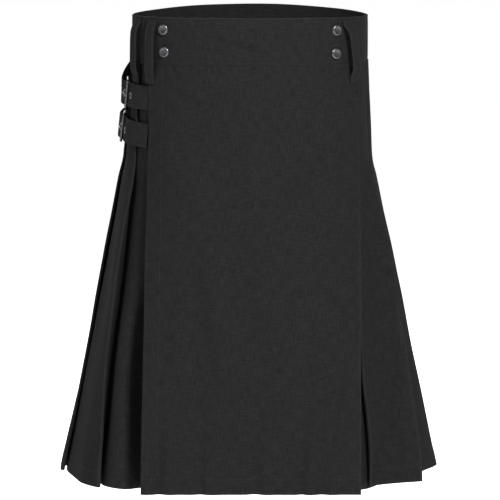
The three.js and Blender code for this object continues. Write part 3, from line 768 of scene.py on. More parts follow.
def cloth_material(name, look, colour, pitch):
    """Black twill: diagonal ribs by the piece's own lengths, broken by the yarns across them, with
    uneven dye, painted shade between the ribs, and a painted highlight that makes folds and edges
    paler."""
    material, tree, shader = start_material(name)
    link = tree.links.new
    lengths = node(tree, "ShaderNodeUVMap", "Lengths along the cloth", (-1200, 0), uv_map="cloth")
    place = lengths.outputs["UV"]
    diagonal = (0, 0, math.radians(58))
    ribs = stretched(tree, "Turn to the diagonal", (-1000, 150), place, (1, 1, 1), diagonal)
    rib = node(tree, "ShaderNodeTexWave", "Twill ribs", (-800, 200), wave_profile="SIN")
    rib.inputs["Scale"].default_value = WAVE_SCALE / pitch
    rib.inputs["Distortion"].default_value = 1.1
    rib.inputs["Detail"].default_value = 2.0
    rib.inputs["Detail Scale"].default_value = 1.4
    link(ribs.outputs["Vector"], rib.inputs["Vector"])
    yarn = node(tree, "ShaderNodeTexWave", "Yarns across", (-800, -100), wave_profile="SIN")
    yarn.bands_direction = "Y"
    yarn.inputs["Scale"].default_value = WAVE_SCALE / (pitch * 0.62)
    yarn.inputs["Distortion"].default_value = 0.8
    link(place, yarn.inputs["Vector"])
    ribbed, yarned = rib.outputs["Fac"], yarn.outputs["Fac"]
    weave = scaled_sum(tree, "Weave height", (-560, 100), yarned, 0.45, ribbed)
    fuzz = noise(tree, "Fuzz", (-800, -350), place, 900.0, 3.0)
    streaks = []
    for label, scale, level in (
        ("Thick warp yarns", (900.0, 70.0, 1.0), -600),
        ("Thick weft yarns", (70.0, 900.0, 1.0), -850),
    ):
        long = stretched(tree, label + " stretched", (-1000, level), place, scale)
        streak = noise(tree, label, (-800, level), long.outputs["Vector"], 1.0, 3.0, 0.6)
        streaks.append(streak.outputs["Fac"])
    halved = node(tree, "ShaderNodeMath", "Half the weft", (-740, -900), operation="MULTIPLY")
    halved.inputs[1].default_value = 0.5
    link(streaks[1], halved.inputs[0])
    half_weft = halved.outputs["Value"]
    dye = scaled_sum(tree, "Uneven yarns", (-680, -700), streaks[0], 0.5, half_weft)
    low = tuple(c * (1 - look.dye) for c in colour)
    high = tuple(c * (1 + look.dye) for c in colour)
    dyed = ramp(tree, "Dye", (-560, -550), [(0.4, low), (0.62, high)])
    link(dye.outputs["Value"], dyed.inputs["Fac"])
    # Painted shade and highlight: the colour is darker between the twill ribs and paler on their tops,
    # as light falls on the weave.
    yarns = ramp(tree, "Rib tops", (-360, 100), [(0.25, 0.72), (1.0, 1.16)])
    link(weave.outputs["Value"], yarns.inputs["Fac"])
    toned = node(tree, "ShaderNodeMix", "Dyed ribs", (-120, -200), data_type="RGBA")
    toned.blend_type = "MULTIPLY"
    toned.inputs["Factor"].default_value = 1.0
    link(dyed.outputs["Color"], toned.inputs["A"])
    link(yarns.outputs["Color"], toned.inputs["B"])
    # Painted highlight: the colour is painted paler, in patches, along folds and edges, as if light
    # caught them.
    highlight_strength = node(tree, "ShaderNodeAttribute", "Rubbed folds", (-560, -850), attribute_name="wear")
    patchy_highlight = node(tree, "ShaderNodeMath", "Patchy rubbing", (-340, -750), operation="MULTIPLY")
    patch = ramp(tree, "Patches", (-560, -1080), [(0.25, 0.25), (0.75, 1.0)])
    link(dye.outputs["Value"], patch.inputs["Fac"])
    link(highlight_strength.outputs["Fac"], patchy_highlight.inputs[0])
    link(patch.outputs["Color"], patchy_highlight.inputs[1])
    final = node(tree, "ShaderNodeMix", "Paler where rubbed", (120, -200), data_type="RGBA")
    final.inputs["B"].default_value = (*[min(1, c * look.highlight_strength + 0.002) for c in colour], 1)
    link(patchy_highlight.outputs["Value"], final.inputs["Factor"])
    link(toned.outputs["Result"], final.inputs["A"])
    link(final.outputs["Result"], shader.inputs["Base Color"])
    woven = weave.outputs["Value"]
    rough = ramp(tree, "Roughness", (120, 60), [(0.2, 0.93), (0.8, 0.8)])
    drive(tree, woven, rough, shader.inputs["Roughness"])
    height = scaled_sum(tree, "Weave and fuzz", (-120, 120), fuzz.outputs["Fac"], 0.5, woven)
    raised = height.outputs["Value"]
    add_relief(tree, shader, "Weave relief", (360, -400), raised, look.relief, 0.00018)
    shader.inputs["Specular IOR Level"].default_value = 0.03
    shader.inputs["Sheen Weight"].default_value = look.sheen
    shader.inputs["Sheen Roughness"].default_value = 0.55
    shader.inputs["Sheen Tint"].default_value = (0.8, 0.82, 0.86, 1)
    return material


def thread_material(look):
    """Black thread, a little glossier than the cloth, twisted along each stitch."""
    material, tree, shader = start_material("thread")
    place = node(tree, "ShaderNodeTexCoord", "Place", (-900, 0)).outputs["Object"]
    twist = noise(tree, "Twist", (-700, 0), place, 1500.0).outputs["Fac"]
    # The thread is black, and its colour is set darker than the cloth as painted shade along the seam
    # lines.
    c = tuple(look.thread_colour_with_seam_shade)
    tone = ramp(tree, "Thread tone", (-450, 0), [(0.3, tuple(0.7 * x for x in c)), (0.7, c)])
    drive(tree, twist, tone, shader.inputs["Base Color"])
    add_relief(tree, shader, "Twist relief", (300, -300), twist, 0.4, 0.0001)
    shader.inputs["Roughness"].default_value = 0.7
    shader.inputs["Specular IOR Level"].default_value = 0.3
    return material


def metal_material(name, colour, roughness):
    """Dark plated steel: satin, with a fine cast, faint scratches and a few paler rubs."""
    material, tree, shader = start_material(name)
    place = node(tree, "ShaderNodeTexCoord", "Place", (-1000, 0)).outputs["Object"]
    cast = noise(tree, "Cast", (-760, 150), place, 320.0, 6.0)
    rubs, turned_by = (260, 260, 2600), (0.5, 0.3, 0.9)
    long = stretched(tree, "Along the rub", (-960, -220), place, rubs, turned_by)
    scratch = noise(tree, "Scratches", (-760, -200), long.outputs["Vector"], 1.0, 4.0)
    scratched = scratch.outputs["Fac"]
    low = tuple(c * 0.75 for c in colour)
    high = tuple(c * 1.35 for c in colour)
    tone = ramp(tree, "Plating", (-500, 150), [(0.35, low), (0.6, colour), (0.78, high)])
    drive(tree, cast.outputs["Fac"], tone, shader.inputs["Base Color"])
    rough = ramp(tree, "Satin", (-500, -150), [(0.3, roughness * 0.8), (0.72, roughness * 1.35)])
    drive(tree, scratched, rough, shader.inputs["Roughness"])
    add_relief(tree, shader, "Fine relief", (300, -300), scratched, 0.25, 0.00006)
    shader.inputs["Metallic"].default_value = 0.92
    return material


def floor_material(colour, glow):
    """Smooth pale studio card with a trace of grain, giving off a little light."""
    material, tree, shader = start_material("studio card")
    place = node(tree, "ShaderNodeTexCoord", "Place", (-800, 0)).outputs["Object"]
    grain = noise(tree, "Grain", (-600, 0), place, 3.0)
    pale = tuple(0.985 * c for c in colour)
    tone = ramp(tree, "Card", (-350, 0), [(0.3, pale), (0.7, tuple(colour))])
    drive(tree, grain.outputs["Fac"], tone, shader.inputs["Base Color"])
    shader.inputs["Roughness"].default_value = 0.9
    shader.inputs["Emission Color"].default_value = (1, 1, 1, 1)
    shader.inputs["Emission Strength"].default_value = glow
    return material


_made = {}


def material_of(kind):
    """A finish, made once."""
    if kind not in _made:
        look = bpy.context.scene.kilt_look
        if kind == "cloth":
            made = cloth_material("black twill", look, tuple(look.cloth_colour), look.weave)
        elif kind == "strap":
            made = cloth_material("strap twill", look, tuple(look.strap_colour), look.weave * 0.9)
        elif kind == "thread":
            made = thread_material(look)
        else:
            made = metal_material("gunmetal", tuple(look.metal_colour), look.metal_roughness)
        _made[kind] = made
    return _made[kind]


def finish_piece(piece, kind, nodes=()):
    """Gives a piece its finish, its body and the nodes that it stands for."""
    piece.data.materials.append(material_of(kind))
    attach(piece, BODY_NAME)
    if nodes:
        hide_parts(*nodes)
    return piece


# Cloth panels

# Creases by X and depth of their two ends, with half width and height; a dip is negative.
FRONT_TUCKS = [
    (-104, 61, -88, 82, 2.4, -1.95),
    (-111, 62, -97, 86, 2.6, 1.35),
    (-96, 61, -82, 78, 2.2, 1.2),
    (-72, 68, -60, 82, 2.2, -1.5),
    (-66, 64, -52, 78, 2.0, 1.05),
    (-56, 65, -42, 72, 1.6, -1.05),
    (-3, 65, 12, 71, 1.6, -1.2),
    (-1, 68, 14, 75, 1.8, 0.75),
    (40, 64, 54, 70, 1.6, -0.9),
    (89, 62, 102, 70, 2.0, -1.35),
    (94, 58, 112, 64, 2.4, 1.2),
    (-104, 90, -60, 120, 4.5, -2.25),
    (-96, 84, -52, 112, 4.5, 1.5),
    (-132, 119, -108, 119, 1.4, -0.75),
    (112, 84, 142, 101, 2.6, -2.4),
    (116, 92, 142, 107, 3.2, 1.95),
    (-84, 330, -96, 470, 13.0, 4.0),
    (-30, 250, 6, 470, 20.0, -4.6),
    (-58, 290, -26, 500, 14.0, 3.6),
    (30, 120, 96, 240, 22.0, -4.0),
    (118, 430, 84, 612, 11.0, 3.8),
    (134, 400, 104, 612, 9.0, -3.0),
    (30, 350, 46, 560, 22.0, 3.4),
    (-120, 140, -60, 260, 18.0, 3.0),
]
HEM_WAVES = [(-132, 5, 1.8), (-117, 6, -3.4), (-104, 7, 2.8), (-64, 7, -3.4), (-50, 9, 2.0),
             (6, 8, -3.2), (22, 9, 2.2), (66, 6, -3.0), (78, 6, 2.6), (92, 6, -2.6), (106, 7, 2.6)]
PANEL_TUCKS = [
    (185, 330, 188, 480, 8.0, -3.4),
    (188, 440, 178, 600, 8.5, -4.0),
    (160, 400, 158, 606, 9.0, 2.4),
    (202, 540, 206, 612, 4.0, 2.4),
    (192, 552, 190, 612, 2.5, -2.2),
    (172, 560, 168, 612, 3.0, 2.2),
]
LEFT_TUCKS = [
    (-193, 535, -210, 600, 3.5, -2.6),
    (-152, 133, -129, 116, 2.2, 2.0),
    (-156, 127, -134, 112, 3.0, -1.6),
]


HEM_TURN = 20.0  # the hem's turn-up, with its stitch line along its top
SEAM_LIFT = 0.5  # how far a seam's thread lies off the middle of the cloth


def hem_ripple(points, depth, table, start=430.0):
    """Soft waves that grow towards the hem: each is a bell by X, of a half width and a height."""
    x = points[..., 0]
    grow = (smooth((depth - start) / (HEM - start)) ** 1.5)[:, None]
    out = np.zeros_like(x)
    for centre, width, height in table:
        out += height * np.exp(-(((x - centre) / width) ** 2))
    return out * grow


def seams_at_hem(points, depth, low=0, high=None):
    """The hem's stitch line on the cloth's outer side, from one column to another."""
    high = points.shape[1] - 1 if high is None else high
    at_row = np.interp(HEM - HEM_TURN, depth, np.arange(len(depth)))
    cols = np.arange(low, high + 0.01, 0.5)
    return line_on(points, SEAM_LIFT, np.full(cols.shape, at_row), cols)


def upright_seam(points, depth, column, top, bottom):
    """A stitch line down the cloth at a column, between two depths."""
    d = np.arange(top, bottom, 2.0)
    rows = np.interp(d, depth, np.arange(len(depth)))
    return line_on(points, SEAM_LIFT, rows, np.full(d.shape, float(column)))


def column_at(points, row, distance):
    """The column a distance along the cloth from its first edge, measured in one row."""
    run = run_of(points[row])
    if distance < 0:
        distance += run[-1]
    return float(np.interp(distance, run, np.arange(len(run))))


def hem_bulge(depth, size=0.22):
    """Half the cloth's thickness: more below the hem's stitch line, and less at its very edge."""
    turned_up = size * smooth((depth - (HEM - HEM_TURN - 1)) / 3)
    return 0.45 + turned_up - 0.25 * smooth((depth - HEM + 2.5) / 2.5)


def outwardness(points):
    """How far a panel faces outwards, from 1 down to -1 on the folded-back layers, so that a crease
    moves every layer the same way."""
    way = np.concatenate([points[..., :2], np.zeros_like(points[..., :1])], -1)
    return (normals_of(points) * unit(way)).sum(-1)


def cloth_panel(name, path_of, seed, creases=(), ripples=()):
    """Lays a panel, adds its creases along its own normals, and makes the thin shell."""
    look = bpy.context.scene.kilt_look
    depth = depth_rows(look.row_step * 1000)
    points, fold = lay(path_of, depth)
    uv = cloth_uv(points)
    ease = smooth((depth - 66) / 40)[:, None] * smooth((HEM + 40 - depth) / 60)[:, None]
    height = wander(uv[..., 0], uv[..., 1], seed, ((150, 0.35, 2.4), (62, 0.5, 0.8))) * ease
    calm = 1 - np.convolve(fold, np.ones(5) / 5, "same")[None, :] * 0.8
    height = height * calm
    height = height + tucks(points, depth, creases) * outwardness(points)
    height = height + hem_ripple(points, depth, ripples)
    height[:, 0] = height[:, 1]
    points = points + normals_of(points) * height[..., None]
    # Painted highlight: a paler colour painted along the folds, stronger lower down, and along the
    # hem's edge, as if light caught them.
    near = np.convolve(fold, [0.25, 1, 0.25], "same") * 0.8
    wear = np.clip(near, 0, 1)[None, :] * (0.35 + 0.65 * smooth((depth - 150) / 300)[:, None])
    wear = np.maximum(wear, smooth((depth - HEM + 4) / 4)[:, None] * 0.5)
    piece = put_shell(name, points, hem_bulge(depth)[:, None] * look.cloth_scale, wear)
    return piece, points, depth, fold


class KILT_OT_front_apron(bpy.types.Operator):
    """The front apron, with its edge, facing and hem sewing"""

    bl_idname = "kilt.front_apron"
    bl_label = "Front apron"

    def execute(self, context):
        piece, points, depth, fold = cloth_panel(
            "front_apron", apron_over_path, 11, FRONT_TUCKS, HEM_WAVES
        )
        finish_piece(piece, "cloth", ["apron_over"])
        edge = column_at(points, -1, 3.0)
        facing = column_at(points, -1, 21.0)
        right = int(np.argmax(fold)) - 1
        seams = [
            upright_seam(points, depth, edge, 64, 606),
            upright_seam(points, depth, facing, 64, 588),
            seams_at_hem(points, depth, 1, right),
            upright_seam(points, depth, right - 1.2, 100, 114),
        ]
        across = np.arange(right - 9, right + 0.5, 0.5)
        level = np.interp(106.0, depth, np.arange(len(depth)))
        seams.append(line_on(points, SEAM_LIFT, np.full(across.shape, level), across))
        thread = put_stitches("front_apron_stitching", seams)
        finish_piece(thread, "thread")
        return {"FINISHED"}


class KILT_OT_under_apron(bpy.types.Operator):
    """The under apron, behind the front one"""

    bl_idname = "kilt.under_apron"
    bl_label = "Under apron"

    def execute(self, context):
        piece, points, depth, _ = cloth_panel("under_apron", under_path, 12)
        finish_piece(piece, "cloth", ["apron_under"])
        edge = column_at(points, -1, -4.0)
        seams = [
            upright_seam(points, depth, edge, 64, 604),
            seams_at_hem(points, depth),
        ]
        thread = put_stitches("under_apron_stitching", seams)
        finish_piece(thread, "thread")
        return {"FINISHED"}


RUNS = (
    ("pleats_right", right_path, 21, PANEL_TUCKS),
    ("pleats_back", run_path(4, 7), 22, ()),
    ("pleats_left", run_path(8, 11), 23, LEFT_TUCKS),
)


class KILT_OT_pleats(bpy.types.Operator):
    """The three lengths of pleated cloth, sewn down to the hip"""

    bl_idname = "kilt.pleats"
    bl_label = "Pleats"

    def execute(self, context):
        for name, path_of, seed, creases in RUNS:
            piece, points, depth, fold = cloth_panel(name + "_cloth", path_of, seed, creases)
            finish_piece(piece, "cloth", [name])
            seams = [seams_at_hem(points, depth)]
            starts = np.flatnonzero(np.diff(np.concatenate([[0], fold])) > 0)
            for column in starts:
                if not self.is_ridge(points, column):
                    continue
                seams.append(upright_seam(points, depth, column - 1.0, 63, STITCHED - 3))
                end = np.interp(STITCHED - 4, depth, np.arange(len(depth)))
                cols = np.arange(column - 4, column - 0.4, 0.4)
                seams.append(line_on(points, SEAM_LIFT, np.full(cols.shape, end), cols))
            thread = put_stitches(name + "_stitching", seams)
            finish_piece(thread, "thread")
        return {"FINISHED"}

    @staticmethod
    def is_ridge(points, column):
        """Whether a fold turns back under: the cloth before it lies outside the cloth after."""
        last = points.shape[1] - 1
        ahead = min(column + 2 * BEND + 2, last)
        row = points[-1]
        before = np.hypot(*(row[max(column - 2, 0), :2]))
        after = np.hypot(*(row[ahead, :2]))
        return before > after + 2.0 and column > 4


# Waistband

BAND_CREASES = [
    (-62, 22, 30, 52, 5.0, -1.5),
    (-58, 14, 34, 45, 5.5, 1.35),
    (-68, 40, -34, 47, 3.6, -1.05),
    (-66, 47, -30, 54, 3.6, 0.9),
    (40, 50, 84, 36, 4.5, -0.9),
    (-114, 20, -104, 50, 4.0, -0.75),
    (104, 12, 112, 50, 4.0, 0.9),
    (84, 40, 108, 58, 3.6, -1.05),
]


BAND_CREASE_LIMIT = 1.3
BAND_HEIGHT = RIM_Z - BAND_BOTTOM_Z
BAND_SEAMS = (3.5, 58.3)  # the stitch lines' depths under the rim
BAND_SEAM_LIFT = 0.12
BAND_ROWS = 24


def band_creases(x, depth):
    """Heights of the band's creases by X and depth, held within their limit."""
    crease = sum(height * crease_share(x, depth, *place) for *place, height in BAND_CREASES)
    return np.clip(crease, -BAND_CREASE_LIMIT, BAND_CREASE_LIMIT)


def band_offset(bearing):
    """How far the band stands off the waist: the outer turn, then a ramp down to the inner."""
    return BAND_LAP * (1 - smooth((bearing + 28) / 20))


def band_line(count):
    """The band's middle line: its bearings from the outer end to the inner, and its X and Y."""
    start = 180 + math.degrees(math.acos(-LAP_LEFT_X / (WAIST_A + BAND_LAP))) - 360
    end = 360 - math.degrees(math.acos(LAP_RIGHT_X / WAIST_A))
    bearing = np.linspace(start, end, count)
    t = np.radians(bearing)
    off = band_offset(bearing)
    return bearing, (WAIST_A + off) * np.cos(t), (WAIST_B + off) * np.sin(t)


class KILT_OT_waistband(bpy.types.Operator):
    """The waistband: one doubled strip in a little over a turn, sewn along both edges"""

    bl_idname = "kilt.waistband"
    bl_label = "Waistband"

    def execute(self, context):
        bearing, x, y = band_line(420)
        top = RIM_Z + rise(x, y) - 0.15 * (1 + np.sin(bearing / 7.0))
        bottom = BAND_BOTTOM_Z + rise(x, y) - droop(x, y)
        tangent = unit(np.stack([np.gradient(x), np.gradient(y)], -1))
        normal = np.stack([tangent[:, 1], -tangent[:, 0]], -1)
        rows = BAND_ROWS
        down = np.linspace(0, 1, rows)
        r = BAND_THICK / 2
        pad = np.ones(rows)
        for place, depth in zip(BAND_SEAMS, (0.34, 0.3)):
            pad = pad - depth * np.exp(-(((down * BAND_HEIGHT - place) / 1.6) ** 2))
        heights = (top[:, None] - r) - (top - bottom - 2 * r)[:, None] * down[None]
        is_front = (y < 0)[:, None] & (bearing < 90)[:, None]
        crease = np.where(is_front, band_creases(x[:, None], RIM_Z - heights), 0)
        ripple = wander(bearing[:, None] * 2.6, heights, 5, ((70, 0.6, 0.22),))
        out_r = r * pad + crease + ripple * 0.4
        in_r = -r * pad + ripple * 0.2 + np.minimum(crease, 0)

        def side(radius, z):
            """The band's middle line moved out by a radius, at a height."""
            plan = np.stack([x, y], -1)[:, None] + normal[:, None] * radius[..., None]
            return np.concatenate([plan, z[..., None]], -1)

        lip = np.radians([35, 70, 90, 110, 145])
        lip_r = np.broadcast_to(r * np.cos(lip), (len(x), len(lip)))
        top_lip = side(lip_r, (top - r)[:, None] + r * np.sin(lip)[None])
        low_lip = side(-lip_r, (bottom + r)[:, None] - r * np.sin(lip)[None])
        outside = side(out_r, heights)
        inside = side(in_r[:, ::-1], heights[:, ::-1])
        rings = np.concatenate([outside[:, ::-1], top_lip, inside[:, ::-1], low_lip], 1)
        run = np.concatenate([[0], np.cumsum(np.hypot(np.diff(x), np.diff(y)))])
        v = rings[..., 2]
        uv = np.stack([run[:, None] * np.ones(rings.shape[1]), v], -1).reshape(-1, 2)
        # Painted highlight: a paler colour painted on the rolled rim, faintly along the side edges and
        # at half strength along the lower edge, as if light caught them.
        wear = np.zeros(rings.shape[:2])
        wear[:, rows : rows + 5] = 1.0
        wear[:, [0, rows - 1, rows + 5, 2 * rows + 4]] = 0.1
        wear[:, -5:] = 0.5
        piece = loft("waistband_cloth", rings, False, {"wear": wear.ravel()}, 60.0, uv)
        finish_piece(piece, "cloth", ["waistband"])
        grid_out = outside.transpose(1, 0, 2)
        grid_in = inside.transpose(1, 0, 2)[:, ::-1]
        all_cols = np.arange(2, len(x) - 3, 0.5)
        shown = all_cols[all_cols < np.interp(196, bearing, np.arange(len(x)))]
        at_top, at_low = (place / BAND_HEIGHT * (rows - 1) for place in BAND_SEAMS)
        edge_col = column_at(grid_out, 4, 3.5)
        upright = np.arange(at_top, at_low, 0.4)
        lines = [(grid_out, at_top, shown), (grid_out, at_low, shown)]
        lines += [(grid_in, rows - 1 - level, all_cols) for level in (at_top, at_low)]
        lines.append((grid_out, upright, np.full(upright.shape, edge_col)))
        seams = [line_on(grid, BAND_SEAM_LIFT, level, cols) for grid, level, cols in lines]
        thread = put_stitches("waistband_stitching", seams)
        finish_piece(thread, "thread")
        return {"FINISHED"}


# Pieces on the body

def body_point(bearing, depth, r):
    """Points by bearing, depth and height over the oval, the waist's oval above the seam."""
    depth = np.asarray(depth, float)
    row = body_at(depth)
    row["a"] = np.where(depth < BAND_DEPTH, WAIST_A, row["a"])
    row["b"] = np.where(depth < BAND_DEPTH, WAIST_B, row["b"])
    plan = on_oval(row, bearing, r)
    z = np.broadcast_to(RIM_Z - depth, plan.shape[:-1])
    return np.concatenate([plan, z[..., None]], -1)


def outward(bearing, depth):
    """The outward direction on the body: down the cloth crossed with round it."""
    here = body_point(bearing, depth, 0.0)
    down = body_point(bearing, np.asarray(depth) + 8, 0.0) - here
    return unit(np.cross(down, body_point(np.asarray(bearing) + 2, depth, 0.0) - here))


LOOP_WIDTH, LOOP_THICK = 15.0, 1.6
LOOP_TOP, LOOP_FOOT = 4.0, 87.0
LOOP_COLUMNS = ("name", "top", "low", "under", "foot", "gap", "slant")
LOOPS = [dict(zip(LOOP_COLUMNS, row)) for row in (
    ("belt_loop_front_left", 218.3, 218.3, 4.5, 6.75, 7.3, 1.2),
    ("belt_loop_side_left", 201, 200, 1.3, 2.75, 7, 0),
    ("belt_loop_front_right", -38.6, -33.4, 4.5, 6.9, 10, 0),
    ("belt_loop_back_right", 36, 36, 1.3, 2.9, 7.5, 0),
    ("belt_loop_back", 90, 90, 1.3, 3.1, 6.4, 0),
    ("belt_loop_back_left", 144, 144, 1.3, 2.9, 7.5, 0),
)]
# By depth: a loop's share of its gap, and of the way from its upper base to its foot.
LOOP_SHAPE = np.array([
    [4, 0, 0], [9, 0.08, 0], [16, 0.62, 0], [24, 0.93, 0], [42, 1, 0],
    [58, 0.95, 0.3], [70, 0.66, 0.8], [79, 0.1, 1], [87, 0, 1],
])


def strip_rings(centre, across, out, width, thick, flat=9):
    """Rings of a strip with rounded edges along a line of stations."""
    around = section(width, thick, flat)
    return (
        centre[:, None]
        + across[:, None] * around[None, :, 0, None]
        + out[:, None] * around[None, :, 1, None]
    )


def strip_axes(centre, toward):
    """Across and out directions of a strip along a line, out nearest to the one given."""
    along = unit(np.gradient(centre, axis=0))
    across = unit(np.cross(along, toward))
    return across, np.cross(across, along)


class KILT_OT_belt_loops(bpy.types.Operator):
    """The belt loops, sewn at both ends and standing off the band between"""

    bl_idname = "kilt.belt_loops"
    bl_label = "Belt loops"

    def execute(self, context):
        for loop in LOOPS:
            depth = np.linspace(LOOP_TOP, LOOP_FOOT, 70)
            share = through(LOOP_SHAPE[:, 0], LOOP_SHAPE[:, 1], depth)
            foot = through(LOOP_SHAPE[:, 0], LOOP_SHAPE[:, 2], depth)
            base = mix(loop["under"], loop["foot"], foot) + LOOP_THICK / 2 + 0.3
            bearing = mix(loop["top"], loop["low"], depth / LOOP_FOOT) - loop["slant"] * (1 - share)
            centre = body_point(bearing, depth, base + share * loop["gap"])
            way = outward((loop["top"] + loop["low"]) / 2, 40.0)
            across, out = strip_axes(centre, way)
            rings = strip_rings(centre, across, out, LOOP_WIDTH, LOOP_THICK)
            count = rings.shape[1]
            run = run_of(centre)
            around = section(LOOP_WIDTH, LOOP_THICK)
            u = np.broadcast_to(around[None, :, 0], (len(centre), count))
            uv = np.stack([u, run[:, None] + 0 * u], -1).reshape(-1, 2)
            # Painted highlight: a paler colour painted along the loop's two edges.
            wear = np.broadcast_to((np.abs(around[:, 0]) > LOOP_WIDTH / 2 - 1)[None], u.shape)
            values = {"wear": wear.ravel() * 0.6}
            piece = loft(loop["name"] + "_cloth", rings, False, values, 60.0, uv)
            finish_piece(piece, "cloth", [loop["name"]])
            lift = LOOP_THICK / 2 + 0.1
            seams = []
            for off in (-LOOP_WIDTH / 2 + 2.2, LOOP_WIDTH / 2 - 2.2):
                seams.append((centre[2:-2] + across[2:-2] * off + out[2:-2] * lift, out[2:-2]))
            for k in (3, 5, -6, -4):
                span = np.linspace(-1, 1, 12)[:, None] * (LOOP_WIDTH / 2 - 1.4)
                line = centre[k] + across[k] * span + out[k] * (lift + 0.08)
                seams.append((line, np.broadcast_to(out[k], line.shape), 1.5, 1.7, 0.7, 0.4))
            thread = put_stitches(loop["name"] + "_stitching", seams)
            finish_piece(thread, "thread")
        return {"FINISHED"}


SNAPS = (
    ("snap_left_upper", 225, 16.6),
    ("snap_left_lower", 225.6, 45.3),
    ("snap_right_upper", -45, 17.3),
    ("snap_right_lower", -45.4, 47.3),
)
SNAP_PROFILE = (
    (0, 2.15), (1.6, 2.18), (3.0, 2.3), (4.1, 2.5), (4.7, 2.78), (5.3, 2.85), (5.9, 2.7),
    (6.6, 2.2), (7.15, 1.6), (7.45, 1.05), (7.5, 0.6), (7.35, 0.28), (6.9, 0.05), (6.2, 0), (0, 0),
)


class KILT_OT_snaps(bpy.types.Operator):
    """The snap caps on the waistband, each with its pressed ring"""

    bl_idname = "kilt.snaps"
    bl_label = "Snaps"

    def execute(self, context):
        for name, bearing, depth in SNAPS:
            centre = body_point(float(bearing), depth, BAND_LAP + BAND_THICK / 2 + 0.3)
            axis = outward(float(bearing), depth)
            piece = turned(name + "_cap", SNAP_PROFILE, centre, axis, 48)
            finish_piece(piece, "metal", [name])
        return {"FINISHED"}


# Hip straps and buckles

STRAP_WIDTH, STRAP_THICK = 31.0, 2.0
STRAP_SEAM = 3.0  # the stitch lines' distance from the strap's edges
# By length from the upper eyelet's middle: height off the hip, and the two straps' depths.
STRAP_PATH = np.array([
    [-82, 3.9, 106.5, 155], [-66, 3.9, 106.5, 154.5], [-48, 4.7, 106.2, 153.5],
    [-32, 4.9, 106, 152.5], [-18, 4.7, 105.8, 151.3], [-11, 4.8, 105.5, 150.6],
    [-6, 6.2, 105.2, 150], [0, 8.4, 104.8, 149.4], [6, 11, 104.3, 148.8],
    [12, 13.6, 103, 147.9], [19, 14.8, 99.6, 146.4], [29, 15.3, 93.6, 144],
    [42, 15.8, 85.4, 140.9], [54, 16, 78, 138.4], [66, 16, 72, 136.5],
])
STRAPS = (("upper", 2, 182.0), ("lower", 3, 178.5))
EYELET_PLACES = (-25.0, 0.0, 23.5, 47.0)
HOLE = 3.4
EYELET_PROFILE = (
    (2.4, 0.6), (2.55, 1.25), (2.95, 1.72), (3.5, 1.95), (4.1, 1.88), (4.6, 1.62), (4.8, 1.32),
    (3.1, 1.3), (3.1, -1.3), (4.8, -1.32), (4.6, -1.62), (4.1, -1.88), (3.5, -1.95),
    (2.95, -1.72), (2.55, -1.25), (2.4, -0.6),
)
FRAME_LENGTH, FRAME_HEIGHT = 26.0, 36.2
FRAME_WIRE, FRAME_CORNER = 1.6, 4.0
FRAME_LEVEL = 8.1  # the frame's height off the hip
TAB_HALF = 12.5  # half the tab's width
SLOT_HALF, SLOT_REACH = 2.6, 7.0  # the tab's slot for the prong: half its width and its length


def hip_point(centre, s, depth, r):
    """Points near the left hip by length along it from a bearing, in forty even turns."""
    row = body_at(depth)
    bearing = np.full(np.shape(s), float(centre))
    for _ in range(40):
        bearing = bearing - turn(row, bearing, s / 40)
    return body_point(bearing, depth, r), bearing


def strap_line(column, centre, s, r=None):
    """Middle points of a strap by length, and the body's outward direction under them."""
    s = np.asarray(s, float)
    depth = through(STRAP_PATH[:, 0], STRAP_PATH[:, column], s)
    height = through(STRAP_PATH[:, 0], STRAP_PATH[:, 1], s) if r is None else r
    points, bearing = hip_point(centre, s, depth, height)
    return points, outward(bearing, depth)


def buckle_axes(column, centre):
    """The buckle's middle, and its back, up and out directions."""
    half = FRAME_LENGTH / 2
    ends, _ = strap_line(column, centre, [half, -half], FRAME_LEVEL)
    back = unit(ends[0] - ends[1])
    mid = ends.mean(0)
    row = body_at(RIM_Z - mid[2])
    x, y = (mid[0] - row["midX"]) / row["a"], (mid[1] - row["midY"]) / row["b"]
    bearing = math.degrees(math.atan2(y, x))
    way = outward(bearing, RIM_Z - mid[2])
    up = unit(np.cross(way, back))
    up = up * np.sign(up[2])
    out = np.cross(back, up)
    return mid, back, up, out * np.sign(out @ way)


